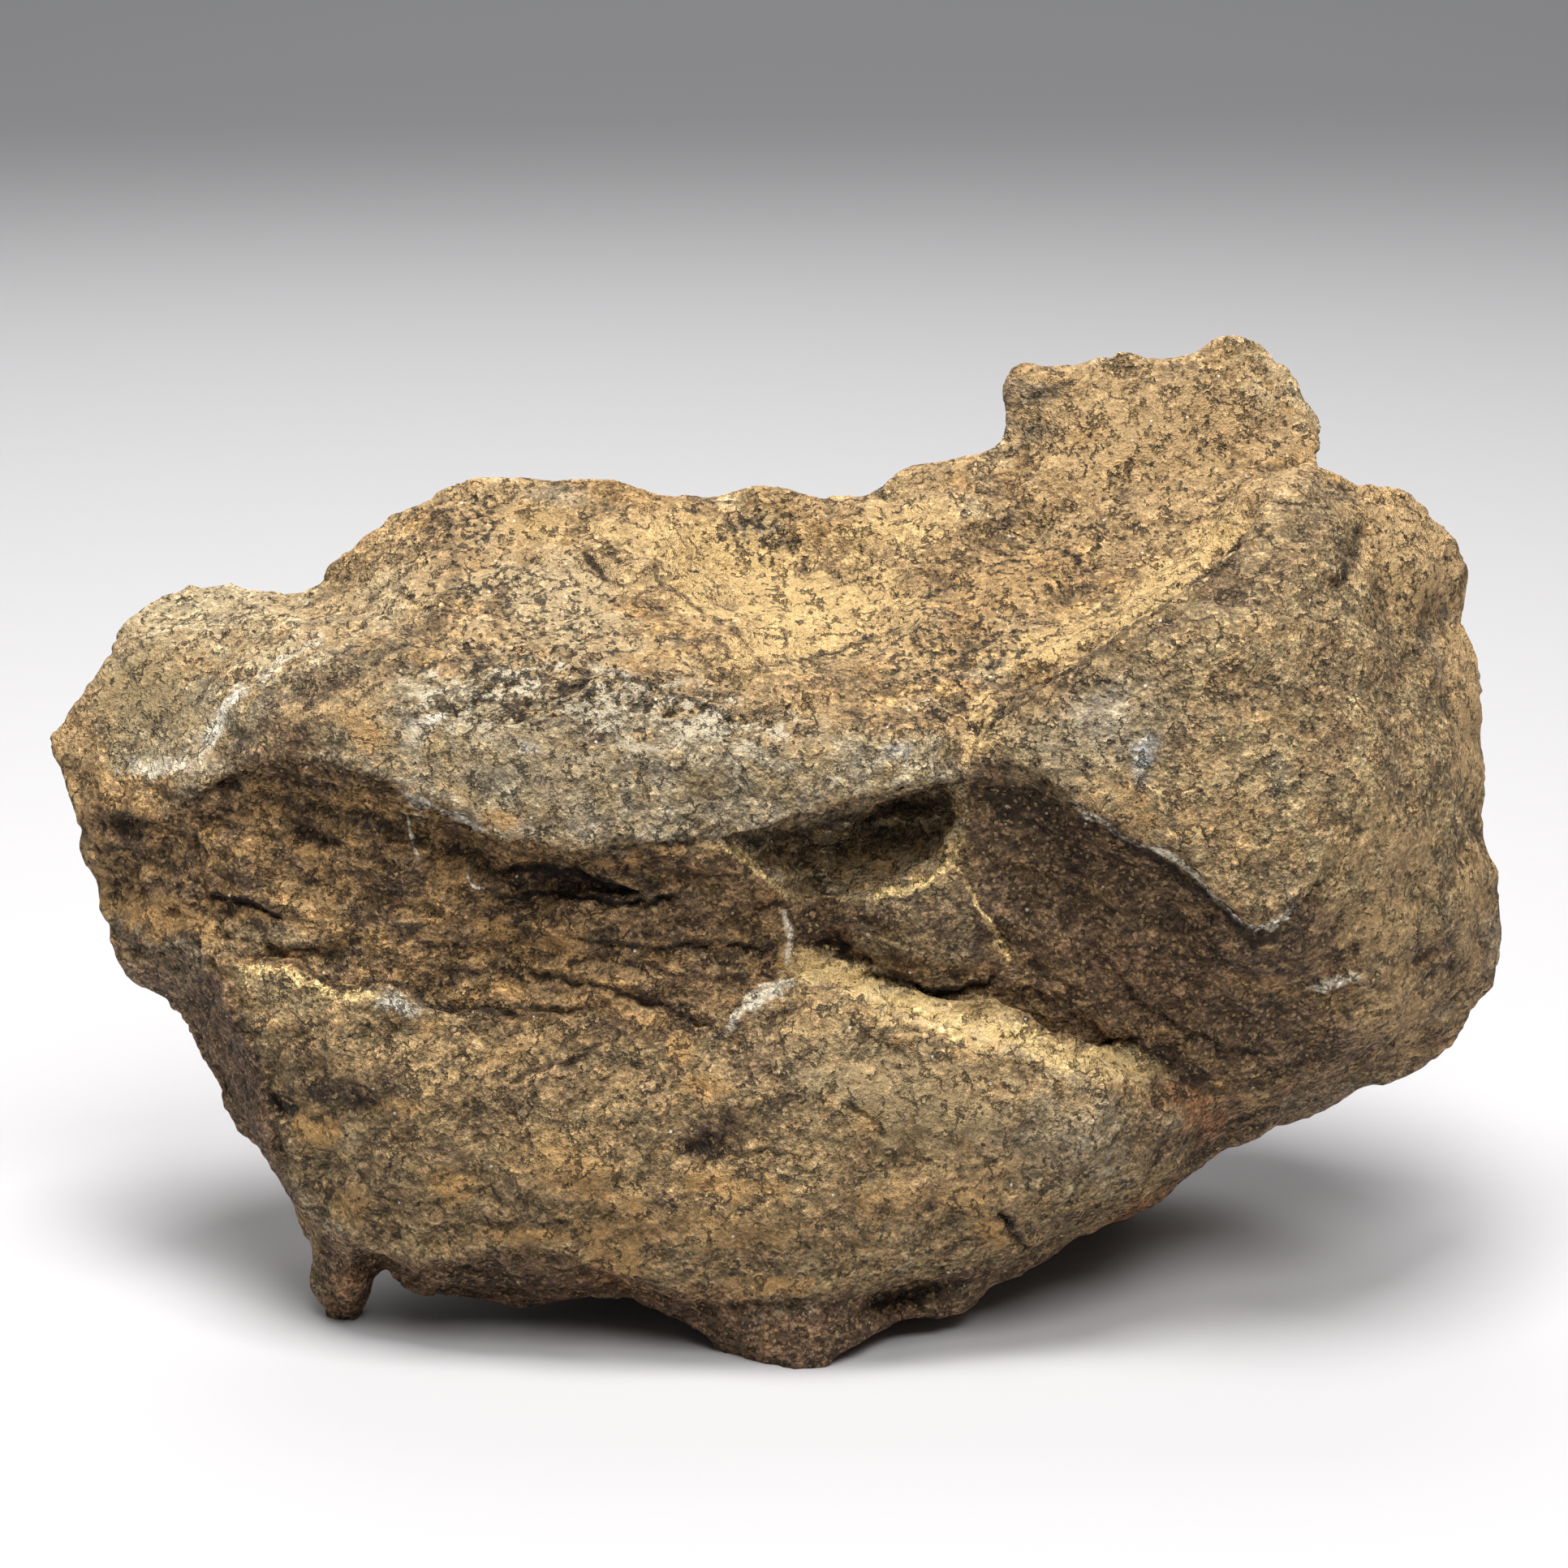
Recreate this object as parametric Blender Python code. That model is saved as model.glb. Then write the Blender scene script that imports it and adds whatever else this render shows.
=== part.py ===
"""Enstatite chondrite: one weathered meteorite stone, about 90 mm wide, resting on three worn points.

The stone is one solid. Its large forms are drawn by hand as form lines over its broad face: the
overhanging brow, the bowl in its top, the thick block at its right end, the lower slab and the ledges
and hollows between them. A second set of lines gives its rear. The two sheets meet at the outline.
The closed stone is then rounded, weathered with lumps, beds and pits, and set down on its feet.

Metres, +Z up. The broad face looks along -Y and the stone's long side lies along X.
"""

import math

import bmesh
import bpy
from mathutils import Vector, geometry, noise

MM = 0.001

# The form lines are drawn on the broad face, which leans back by FACE_LEAN, as they look from
# SIGHT_DISTANCE in front of it. Each point is (across, up, near) in millimetres: across and up lie
# in the plane of the face, and near stands out of it.
FACE_LEAN = math.radians(12.0)
SIGHT_DISTANCE = 300.0
FACE_CENTRE = Vector((0.6, -7.1, 31.9))

# How the drawn stone is rounded and reduced
CORNER_THICKNESS = 1.0
MODEL_GRAIN = 0.65
ROUNDING_PASSES = 2
WEATHERED_PASSES = 2
TRIANGLES = 9400

# Weathering, in millimetres
LUMP_SPACING = 10.0
LUMP_HEIGHT = 0.7
KNOB_SPACING = 4.2
KNOB_HEIGHT = 0.35
BED_SPACING = 3.6
BED_STEP = 0.9
BED_EDGE = 0.22
BED_DIP = math.radians(4.0)
PIT_SPACING = 8.5
PIT_DEPTH = 0.9
CHIP_SIZE = 8.0
CHIP_HEIGHT = 2.2
CHIP_SEED = 40.0
FRONT_CHIPS = 0.3
WAVE_SPACING = 14.0
WAVE_HEIGHT = 1.6
RIPPLE_SPACING = 5.0
RIPPLE_HEIGHT = 0.5

# Where the beds show on the broad face: (across, up, half width, half height) of each patch
FRONT_BEDS = [
    (-22.0, -8.0, 20.0, 5.5),
    (-38.0, -8.0, 6.0, 8.0),
    (20.0, -11.0, 11.0, 4.5),
    (4.0, -4.5, 8.0, 3.0),
]
REAR_BEDS = 0.55

# The feet: each reaches FOOT_WEAR below the ground and is worn flat there
FOOT_WEAR = 0.35
FOOT_RADIUS = 7.0
FOOT_LEVELLING = 0.15

STONE_COLOUR = (0.205, 0.145, 0.082, 1.0)
STONE_ROUGHNESS = 0.92

# ---------------------------------------------------------------- outline, clockwise from the left tip

LEFT_END = [
    (-45.7, 1.3, -7.5),
    (-46.5, 3.5, -8.0),
    (-44.6, 5.2, -9.0),
    (-43.2, 6.1, -9.5),
    (-42.4, 8.3, -10.5),
    (-40.8, 10.7, -12.0),
]
LEFT_LOBE_CREST = [
    (-38.0, 12.2, -13.5),
    (-33.8, 12.5, -14.5),
    (-32.4, 12.0, -14.5),
    (-29.5, 12.7, -14.0),
    (-27.3, 14.0, -14.5),
    (-26.3, 15.5, -15.0),
    (-24.3, 17.5, -15.5),
    (-22.0, 18.0, -16.0),
]
TOP_CREST = [
    (-19.3, 19.1, -16.0),
    (-17.3, 19.0, -16.0),
    (-13.3, 19.0, -16.5),
    (-9.3, 18.5, -17.0),
    (-7.8, 18.0, -17.0),
    (-4.3, 17.9, -17.5),
    (-3.3, 18.5, -17.5),
    (-0.8, 18.4, -18.0),
    (2.7, 17.9, -18.5),
    (4.7, 17.7, -18.5),
    (6.0, 18.4, -19.0),
    (8.2, 19.5, -19.5),
    (11.7, 20.6, -20.0),
    (13.2, 21.5, -20.5),
]
BACK_LOBE_CREST = [
    (13.0, 22.3, -21.0),
    (12.3, 24.6, -20.5),
    (13.8, 26.4, -21.0),
    (17.2, 25.8, -21.5),
    (21.7, 26.1, -22.0),
    (25.2, 26.7, -22.5),
    (27.0, 28.3, -22.5),
    (29.2, 28.1, -22.5),
    (31.8, 26.1, -22.5),
    (33.7, 23.4, -22.0),
    (34.3, 21.8, -21.5),
    (33.9, 20.5, -19.5),
]
RIGHT_END = [
    (34.2, 19.2, -12.8),
    (37.7, 18.4, -14.0),
    (39.9, 17.0, -15.5),
    (41.8, 13.3, -14.5),
    (40.9, 10.0, -13.0),
    (42.3, 6.8, -12.0),
    (43.2, 0.8, -10.5),
    (43.4, -2.2, -10.0),
    (44.1, -4.7, -9.5),
    (44.2, -9.2, -9.5),
    (43.9, -12.0, -9.5),
]
RIGHT_UNDERSIDE = [
    (42.4, -14.2, -9.5),
    (41.2, -16.2, -9.5),
    (37.7, -18.2, -9.5),
    (34.2, -20.2, -8.5),
    (30.2, -21.7, -7.0),
    (26.9, -22.4, -5.0),
]
SLAB_HEEL = [
    (24.4, -24.6, -1.0),
    (22.7, -26.4, 1.0),
    (18.7, -28.2, 2.0),
    (14.2, -30.2, 3.0),
    (12.2, -30.7, 3.5),
    (11.4, -32.2, 4.5),
    (10.2, -32.9, 5.0),
    (7.2, -33.8, 7.0),
    (5.4, -35.2, 8.8),
]
SLAB_TIP = [
    (3.4, -36.6, 9.6),
    (1.7, -37.4, 9.8),
    (0.0, -36.9, 9.6),
    (-1.8, -35.6, 9.0),
    (-3.8, -34.1, 7.8),
    (-6.2, -32.8, 6.4),
    (-8.3, -31.6, 5.4),
    (-9.6, -30.8, 5.0),
]
SLAB_UNDERSIDE = [
    (-10.5, -31.2, 4.0),
    (-13.8, -31.9, 3.0),
    (-15.0, -32.6, 2.5),
    (-17.8, -32.1, 2.0),
    (-22.4, -32.0, 2.0),
    (-23.7, -30.3, 1.5),
]
LEFT_FOOT = [
    (-24.7, -30.8, 1.0),
    (-25.0, -32.4, 1.0),
    (-25.8, -34.4, 1.0),
    (-27.6, -34.5, 1.0),
    (-28.5, -32.6, 0.8),
    (-28.9, -30.8, 0.5),
]
LEFT_SIDE = [
    (-29.4, -28.4, 0.0),
    (-30.8, -24.9, -1.5),
    (-33.3, -21.7, -3.0),
    (-35.3, -17.9, -4.0),
    (-37.5, -14.7, -5.0),
    (-40.5, -12.4, -7.0),
    (-41.0, -11.2, -7.5),
    (-41.8, -7.7, -7.0),
    (-43.3, -4.2, -7.0),
    (-44.8, -0.7, -7.0),
]
OUTLINE = (
    LEFT_END
    + LEFT_LOBE_CREST
    + TOP_CREST
    + BACK_LOBE_CREST
    + RIGHT_END
    + RIGHT_UNDERSIDE
    + SLAB_HEEL
    + SLAB_TIP
    + SLAB_UNDERSIDE
    + LEFT_FOOT
    + LEFT_SIDE
)

# ---------------------------------------------------------------- form lines of the front

# The brow: a thick rounded band that overhangs the beds, from the left lobe to the notch
BROW_LIP = [
    (-38.3, -1.7, 0.5),
    (-35.3, 0.0, 3.5),
    (-31.8, 1.5, 6.0),
    (-28.3, 1.3, 8.0),
    (-24.3, 0.0, 9.5),
    (-20.3, -1.7, 10.8),
    (-17.3, -3.2, 11.5),
    (-13.3, -4.4, 11.8),
    (-11.3, -3.9, 11.5),
    (-8.3, -3.7, 11.0),
    (-4.0, -3.4, 10.3),
    (-0.8, -2.7, 10.0),
    (4.2, -1.2, 9.0),
    (8.7, -0.2, 8.5),
    (11.2, 0.0, 8.6),
]
BROW_BAND = [
    (-32.3, 4.3, 4.8),
    (-28.3, 4.3, 7.2),
    (-24.3, 3.3, 9.0),
    (-20.3, 2.8, 9.9),
    (-15.3, 1.8, 10.8),
    (-9.3, 1.3, 10.6),
    (-3.3, 1.8, 9.8),
    (2.7, 2.3, 8.8),
    (8.2, 2.8, 7.8),
]
BROW_SHOULDER = [
    (-28.3, 7.0, 3.4),
    (-23.3, 6.8, 5.6),
    (-18.3, 6.3, 6.9),
    (-12.3, 6.0, 7.4),
    (-6.8, 5.5, 7.4),
    (-2.8, 4.8, 7.2),
    (1.7, 5.8, 5.2),
    (6.7, 5.8, 4.2),
]
BROW_END_FLAKE = [
    (-28.5, 8.8, -2.5),
    (-31.3, 7.5, -1.8),
    (-33.0, 6.3, -0.8),
    (-34.4, 5.0, 0.2),
    (-35.3, 2.8, 1.4),
    (-36.5, 1.0, 1.6),
    (-38.0, 0.3, 0.6),
]
BROW_UNDERCUT = [
    (-38.8, -3.7, -2.0),
    (-35.0, -1.7, 1.5),
    (-31.8, 0.2, 3.4),
    (-28.8, -0.4, 4.4),
    (-26.3, -0.9, 5.0),
    (-23.3, -2.0, 6.2),
    (-20.3, -3.2, 6.4),
    (-17.8, -4.8, 5.8),
    (-15.8, -5.6, 5.0),
    (-13.3, -5.9, 4.4),
    (-10.3, -6.4, 4.8),
    (-8.3, -6.0, 7.4),
    (-5.6, -5.0, 8.8),
    (-3.3, -4.1, 9.0),
]

# The left lobe, which the end of the brow overlaps
LOBE_BREAK = [
    (-41.6, 8.3, -9.2),
    (-38.3, 8.8, -7.6),
    (-33.8, 8.4, -6.0),
    (-30.8, 8.6, -5.2),
]
LOBE_TOP = [
    (-36.8, 10.4, -10.4),
    (-31.3, 10.2, -8.6),
    (-27.3, 9.9, -6.6),
]
LOBE_FACE = [
    (-42.5, 4.6, -6.2),
    (-38.5, 4.4, -3.4),
    (-35.7, 4.9, -2.2),
]
LOBE_FOOT = [
    (-43.3, 1.8, -5.2),
    (-39.8, 0.6, -2.0),
]
LOBE_UNDERCUT = [
    (-42.8, -1.7, -4.8),
    (-40.6, -2.2, -3.6),
]

# The ridge that climbs from the left end of the brow to the top, and the trough left of it
RIDGE = [
    (-25.6, 8.4, 0.6),
    (-22.4, 10.3, -2.6),
    (-21.1, 13.3, -7.4),
    (-20.3, 16.3, -11.8),
]
TROUGH = [
    (-25.2, 10.6, -7.0),
    (-25.0, 13.3, -11.0),
]

# The bowl in the top
TOP_LEFT = [
    (-15.3, 10.3, -1.0),
    (-16.3, 14.3, -8.6),
]
TOP_MIDDLE = [
    (-11.3, 9.2, 1.0),
    (-11.3, 13.7, -7.4),
    (-13.3, 16.8, -12.8),
]
BOWL_WALL = [
    (-1.8, 7.8, 0.6),
    (-3.4, 8.9, -0.4),
    (-5.8, 10.9, -3.4),
    (-8.3, 13.8, -7.0),
    (-8.8, 16.2, -11.6),
]
BOWL_FLOOR = [
    (4.7, 8.8, -5.0),
    (1.2, 8.9, -6.2),
    (-1.8, 10.6, -9.8),
    (-4.3, 13.3, -13.8),
    (-6.0, 15.8, -15.4),
]
BOWL_FAR_SIDE = [
    (-2.3, 16.3, -16.2),
    (1.2, 13.0, -13.6),
    (4.2, 12.2, -11.8),
    (3.2, 16.0, -15.4),
]
PLATEAU_FRONT = [
    (8.2, 8.3, -1.2),
    (9.2, 11.3, -7.2),
    (8.2, 15.8, -13.6),
]
BACK_LOBE_FACE = [
    (13.7, 16.3, -14.2),
    (16.7, 20.3, -17.0),
    (16.2, 23.8, -19.4),
]
BACK_LOBE_MIDDLE = [
    (21.7, 18.0, -15.0),
    (22.2, 21.6, -17.4),
    (25.7, 24.3, -19.6),
]
BACK_LOBE_RIGHT = [
    (26.4, 19.4, -16.6),
    (29.7, 21.3, -18.2),
    (32.6, 22.2, -19.2),
]

# The gully between the plateau and the block at the right end
GULLY_FAR_SIDE = [
    (9.8, 5.0, 3.0),
    (12.4, 8.2, -1.8),
    (16.0, 11.3, -6.4),
    (19.6, 13.3, -9.4),
    (24.0, 15.8, -12.6),
    (27.5, 18.1, -15.0),
]
GULLY = [
    (10.6, 1.4, 6.6),
    (11.3, 3.5, 5.0),
    (12.8, 5.9, 2.4),
    (14.9, 7.2, 0.0),
    (17.6, 8.7, -2.5),
    (20.3, 10.8, -5.4),
    (23.1, 12.8, -8.0),
    (26.0, 14.6, -10.0),
    (27.8, 17.0, -12.0),
    (29.7, 19.0, -14.2),
    (32.2, 19.8, -16.2),
]

# The block at the right end: its crest, its broad face and the flake that ends the face
BLOCK_CREST = [
    (11.6, 0.9, 9.2),
    (12.6, 3.3, 8.4),
    (14.0, 5.2, 7.2),
    (16.2, 6.4, 6.2),
    (18.7, 7.6, 5.0),
    (21.7, 9.8, 3.2),
    (24.2, 11.5, 1.4),
    (26.9, 13.3, -0.8),
    (28.8, 15.8, -3.0),
    (30.2, 18.0, -5.6),
    (31.8, 18.8, -7.4),
    (34.0, 18.5, -10.0),
]
BLOCK_FACE_UPPER = [
    (15.7, 2.5, 9.8),
    (19.7, 4.3, 9.4),
    (24.2, 6.8, 8.0),
    (28.7, 9.8, 5.5),
    (31.7, 13.3, 2.0),
    (33.7, 16.3, -2.5),
]
BLOCK_FACE_LOWER = [
    (21.7, 0.3, 11.2),
    (26.7, -0.7, 11.8),
    (31.7, 0.8, 10.2),
    (34.2, 4.3, 7.5),
    (36.3, 8.3, 3.0),
]
BLOCK_GROOVE = [
    (36.0, 16.6, -9.2),
    (35.8, 13.3, -4.2),
    (38.7, 8.2, -5.0),
]
REAR_LOBE = [
    (37.8, 15.8, -9.4),
    (39.7, 13.3, -9.4),
    (38.6, 11.0, -6.6),
]
FLAKE_EDGE = [
    (11.6, 0.9, 9.2),
    (14.2, 0.7, 10.0),
    (16.2, 0.3, 10.6),
    (17.7, -0.9, 11.2),
    (21.2, -2.9, 12.0),
    (24.7, -4.5, 12.5),
    (26.7, -6.7, 12.8),
    (28.9, -8.7, 12.8),
    (31.7, -6.9, 12.2),
    (33.0, -4.7, 11.0),
]
FLAKE_STEP = [
    (12.2, -0.6, 7.0),
    (16.0, -1.2, 8.0),
    (20.2, -3.7, 9.0),
    (24.2, -5.7, 9.6),
    (26.5, -8.0, 9.9),
    (29.1, -10.0, 10.0),
    (33.0, -8.2, 9.8),
    (34.8, -4.7, 9.0),
]
RIGHT_FACE = [
    (36.9, 2.3, 6.0),
    (37.0, -2.7, 7.8),
    (37.0, -7.7, 6.8),
    (36.7, -12.2, 4.4),
]
RIGHT_SHOULDER = [
    (40.2, 7.0, -4.0),
    (41.0, 3.0, -2.5),
    (41.4, -1.0, -0.8),
    (42.0, -5.7, 0.0),
    (42.0, -9.7, -1.0),
    (40.9, -12.7, -2.6),
]

# The dark face under the flake, and its turn to the underside
DARK_FACE = [
    (11.9, -4.6, 5.8),
    (14.7, -6.7, 6.0),
    (18.7, -7.7, 7.0),
    (22.7, -10.2, 7.3),
    (26.7, -12.7, 7.0),
    (31.7, -13.7, 6.5),
]
DARK_FACE_FOOT = [
    (15.2, -11.2, 5.0),
    (18.7, -13.7, 5.0),
    (22.7, -15.2, 4.6),
    (26.7, -16.7, 4.0),
    (29.7, -17.5, 3.8),
    (33.7, -16.7, 3.4),
    (37.7, -15.2, 1.0),
]
RIGHT_UNDERSIDE_TURN = [
    (28.7, -20.3, -1.0),
    (32.7, -19.2, -3.5),
    (36.7, -17.4, -4.8),
    (40.2, -15.0, -5.8),
]

# The notch under the brow, and the small block beside it
NOTCH_ROOF = [
    (-2.2, -3.9, 5.0),
    (1.7, -3.1, 0.4),
    (6.7, -1.7, -1.4),
    (9.9, -0.9, 0.0),
]
NOTCH_FLOOR = [
    (0.7, -5.8, 3.2),
    (4.7, -5.9, 2.2),
    (8.0, -4.9, 1.4),
    (9.6, -3.2, 1.2),
]
NOTCH_LEFT_EDGE = [
    (-3.3, -4.1, 9.0),
    (-1.3, -5.5, 8.0),
    (0.4, -7.0, 6.2),
]
NOTCH_RIGHT_EDGE = [
    (10.9, -0.9, 5.0),
    (10.8, -3.4, 5.6),
    (9.2, -5.7, 6.3),
    (6.2, -6.5, 6.3),
    (4.9, -7.5, 6.0),
]
SMALL_BLOCK_FACE = [
    (4.5, -9.2, 5.6),
    (8.7, -8.2, 7.1),
    (10.9, -7.2, 6.8),
    (12.5, -8.9, 6.3),
    (13.6, -11.2, 6.0),
    (8.2, -11.1, 6.8),
    (5.2, -10.6, 5.8),
]
SMALL_BLOCK_HOLLOW = [
    (1.6, -8.2, 4.8),
    (2.4, -10.0, 4.2),
]

# The dark beds between the brow and the slab
UPPER_BED = [
    (-38.3, -5.7, -1.0),
    (-33.3, -3.7, 3.0),
    (-29.3, -3.7, 4.0),
    (-25.8, -4.7, 5.5),
    (-22.3, -5.7, 6.6),
    (-18.3, -6.9, 6.8),
    (-13.3, -7.9, 7.0),
    (-8.3, -8.2, 7.2),
    (-4.3, -7.7, 7.2),
    (-0.9, -7.9, 6.6),
]
MIDDLE_BED = [
    (-39.3, -9.2, -2.2),
    (-35.3, -8.2, 2.0),
    (-31.8, -8.2, 5.2),
    (-28.3, -9.2, 6.2),
    (-23.3, -9.7, 6.4),
    (-17.3, -10.2, 6.8),
    (-11.3, -10.5, 7.0),
    (-5.3, -10.2, 6.8),
    (-1.3, -10.5, 6.0),
]
LOWER_BED = [
    (-34.0, -10.7, 3.3),
    (-30.3, -10.9, 5.3),
    (-25.3, -11.4, 6.3),
    (-21.8, -13.6, 7.0),
    (-19.3, -14.2, 8.0),
    (-14.3, -14.2, 8.2),
    (-8.3, -14.5, 8.0),
    (-4.3, -13.8, 7.0),
    (-1.9, -11.9, 5.6),
]

# The slab: its top edge, the ledge behind it that holds the crust, its face and its lower edge
CRUST_LEDGE = [
    (0.2, -10.6, 4.6),
    (4.2, -11.6, 4.0),
    (6.7, -12.4, 4.0),
    (9.7, -13.3, 4.0),
    (12.7, -13.2, 4.0),
    (14.7, -14.3, 4.0),
    (18.2, -16.4, 3.8),
    (21.7, -17.1, 3.4),
    (24.2, -17.7, 2.8),
    (26.7, -20.0, 1.0),
]
SLAB_TOP_EDGE = [
    (-34.3, -11.6, 4.5),
    (-30.8, -11.9, 6.9),
    (-26.8, -13.2, 8.2),
    (-24.3, -12.4, 8.7),
    (-21.3, -15.0, 9.0),
    (-17.3, -16.0, 9.6),
    (-12.3, -16.2, 10.0),
    (-7.3, -16.2, 9.7),
    (-3.8, -15.4, 9.2),
    (-2.0, -13.4, 8.9),
    (1.2, -12.5, 8.6),
    (4.2, -13.3, 9.0),
    (6.7, -14.7, 9.5),
    (9.2, -15.8, 9.8),
    (14.2, -16.8, 9.8),
    (17.2, -17.8, 9.3),
    (20.7, -18.9, 8.3),
    (23.2, -20.6, 6.5),
]
SLAB_LEFT_EDGE = [
    (-33.3, -14.7, 5.2),
    (-31.8, -18.2, 6.0),
    (-31.0, -21.7, 5.5),
    (-30.0, -24.7, 4.6),
    (-28.4, -27.7, 4.0),
]
SLAB_UPPER_FACE = [
    (-28.3, -16.7, 9.5),
    (-22.3, -18.2, 11.0),
    (-15.3, -19.2, 12.0),
    (-8.3, -20.2, 12.5),
    (-0.8, -18.2, 11.6),
    (6.7, -18.7, 12.0),
    (13.2, -20.2, 11.7),
    (18.7, -21.7, 10.0),
]
SLAB_LOWER_FACE = [
    (-26.8, -22.7, 9.4),
    (-20.3, -24.2, 11.6),
    (-13.3, -25.2, 12.6),
    (-5.8, -26.2, 13.0),
    (1.7, -25.7, 13.2),
    (8.2, -25.2, 12.2),
    (13.2, -25.7, 10.4),
    (17.7, -25.3, 8.6),
    (21.7, -23.7, 6.6),
]
SLAB_LOWER_EDGE = [
    (-26.8, -28.2, 7.6),
    (-22.3, -29.6, 8.8),
    (-18.3, -29.1, 10.2),
    (-15.8, -28.3, 11.0),
    (-13.3, -28.9, 11.2),
    (-10.3, -29.7, 11.0),
    (-7.3, -30.4, 10.8),
    (-3.3, -30.5, 11.4),
    (1.7, -31.2, 12.0),
    (6.7, -30.0, 10.8),
    (11.7, -28.7, 8.6),
    (16.7, -27.6, 6.2),
]
SLAB_TIP_HOLLOW = [
    (5.7, -32.1, 7.2),
    (9.7, -31.2, 5.6),
]
UNDERSIDE_TURN = [
    (-21.8, -31.0, 4.2),
    (-17.3, -31.0, 4.8),
    (-13.6, -30.8, 5.6),
]
LEFT_FOOT_FRONT = [
    (-26.9, -33.0, 4.2),
    (-26.9, -30.0, 6.0),
]

FRONT_LINES = [
    BROW_LIP,
    BROW_BAND,
    BROW_SHOULDER,
    BROW_END_FLAKE,
    BROW_UNDERCUT,
    LOBE_BREAK,
    LOBE_TOP,
    LOBE_FACE,
    LOBE_FOOT,
    LOBE_UNDERCUT,
    RIDGE,
    TROUGH,
    TOP_LEFT,
    TOP_MIDDLE,
    BOWL_WALL,
    BOWL_FLOOR,
    BOWL_FAR_SIDE,
    PLATEAU_FRONT,
    BACK_LOBE_FACE,
    BACK_LOBE_MIDDLE,
    BACK_LOBE_RIGHT,
    GULLY_FAR_SIDE,
    GULLY,
    BLOCK_CREST,
    BLOCK_FACE_UPPER,
    BLOCK_FACE_LOWER,
    BLOCK_GROOVE,
    REAR_LOBE,
    FLAKE_EDGE,
    FLAKE_STEP,
    RIGHT_FACE,
    RIGHT_SHOULDER,
    DARK_FACE,
    DARK_FACE_FOOT,
    RIGHT_UNDERSIDE_TURN,
    NOTCH_ROOF,
    NOTCH_FLOOR,
    NOTCH_LEFT_EDGE,
    NOTCH_RIGHT_EDGE,
    SMALL_BLOCK_FACE,
    SMALL_BLOCK_HOLLOW,
    UPPER_BED,
    MIDDLE_BED,
    LOWER_BED,
    CRUST_LEDGE,
    SLAB_TOP_EDGE,
    SLAB_LEFT_EDGE,
    SLAB_UPPER_FACE,
    SLAB_LOWER_FACE,
    SLAB_LOWER_EDGE,
    SLAB_TIP_HOLLOW,
    UNDERSIDE_TURN,
    LEFT_FOOT_FRONT,
]

# ---------------------------------------------------------------- form lines of the rear

BACK_LOBE_REAR = [
    (15.2, 23.4, -24.0),
    (21.0, 23.8, -25.6),
    (28.0, 25.4, -26.4),
    (32.4, 22.6, -25.4),
]
REAR_TOP = [
    (-36.0, 8.0, -17.0),
    (-28.0, 9.5, -19.5),
    (-17.0, 14.5, -21.0),
    (-4.0, 13.5, -23.5),
    (8.0, 14.5, -25.5),
    (18.0, 20.0, -27.0),
    (28.0, 21.0, -27.5),
    (36.0, 13.0, -24.0),
]
REAR_MIDDLE = [
    (-40.0, 1.0, -14.0),
    (-30.0, 2.0, -21.0),
    (-18.0, 4.0, -25.5),
    (-4.0, 2.0, -27.5),
    (8.0, 4.0, -30.5),
    (20.0, 6.0, -31.5),
    (31.0, 3.0, -28.5),
    (39.0, -1.0, -20.0),
]
REAR_BELLY = [
    (-37.0, -7.0, -13.5),
    (-28.0, -9.0, -19.0),
    (-16.0, -8.0, -25.0),
    (-2.0, -11.0, -27.0),
    (12.0, -9.0, -31.5),
    (24.0, -9.0, -30.5),
    (35.0, -9.0, -23.0),
]
REAR_FOOT_EDGE = [
    (-33.0, -16.0, -9.5),
    (-24.0, -19.0, -14.5),
    (-10.0, -20.0, -21.0),
    (4.0, -21.5, -25.0),
    (17.0, -21.0, -30.5),
    (26.0, -18.5, -26.5),
    (34.0, -16.5, -16.5),
]
REAR_FOOT = [
    (10.5, -24.6, -23.5),
    (16.8, -25.6, -27.2),
    (19.6, -25.5, -24.6),
    (23.4, -22.4, -18.0),
]
LEFT_FOOT_REAR = [
    (-26.9, -33.0, -2.4),
    (-27.0, -30.0, -4.6),
]
UNDERSIDE = [
    (-25.5, -26.0, -5.5),
    (-16.0, -27.8, -6.5),
    (-6.0, -28.6, -6.0),
    (4.0, -30.0, -3.5),
    (11.0, -28.0, -9.5),
    (17.5, -27.2, -8.0),
]

REAR_LINES = [
    BACK_LOBE_REAR,
    REAR_TOP,
    REAR_MIDDLE,
    REAR_BELLY,
    REAR_FOOT_EDGE,
    REAR_FOOT,
    LEFT_FOOT_REAR,
    UNDERSIDE,
]


def to_stone(across, up, near):
    """A point of the drawing, in the stone's own frame and in millimetres."""
    scale = 1.0 - near / SIGHT_DISTANCE
    right = Vector((1.0, 0.0, 0.0))
    upward = Vector((0.0, math.sin(FACE_LEAN), math.cos(FACE_LEAN)))
    outward = Vector((0.0, -math.cos(FACE_LEAN), math.sin(FACE_LEAN)))
    return FACE_CENTRE + right * across * scale + upward * up * scale + outward * near


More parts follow.
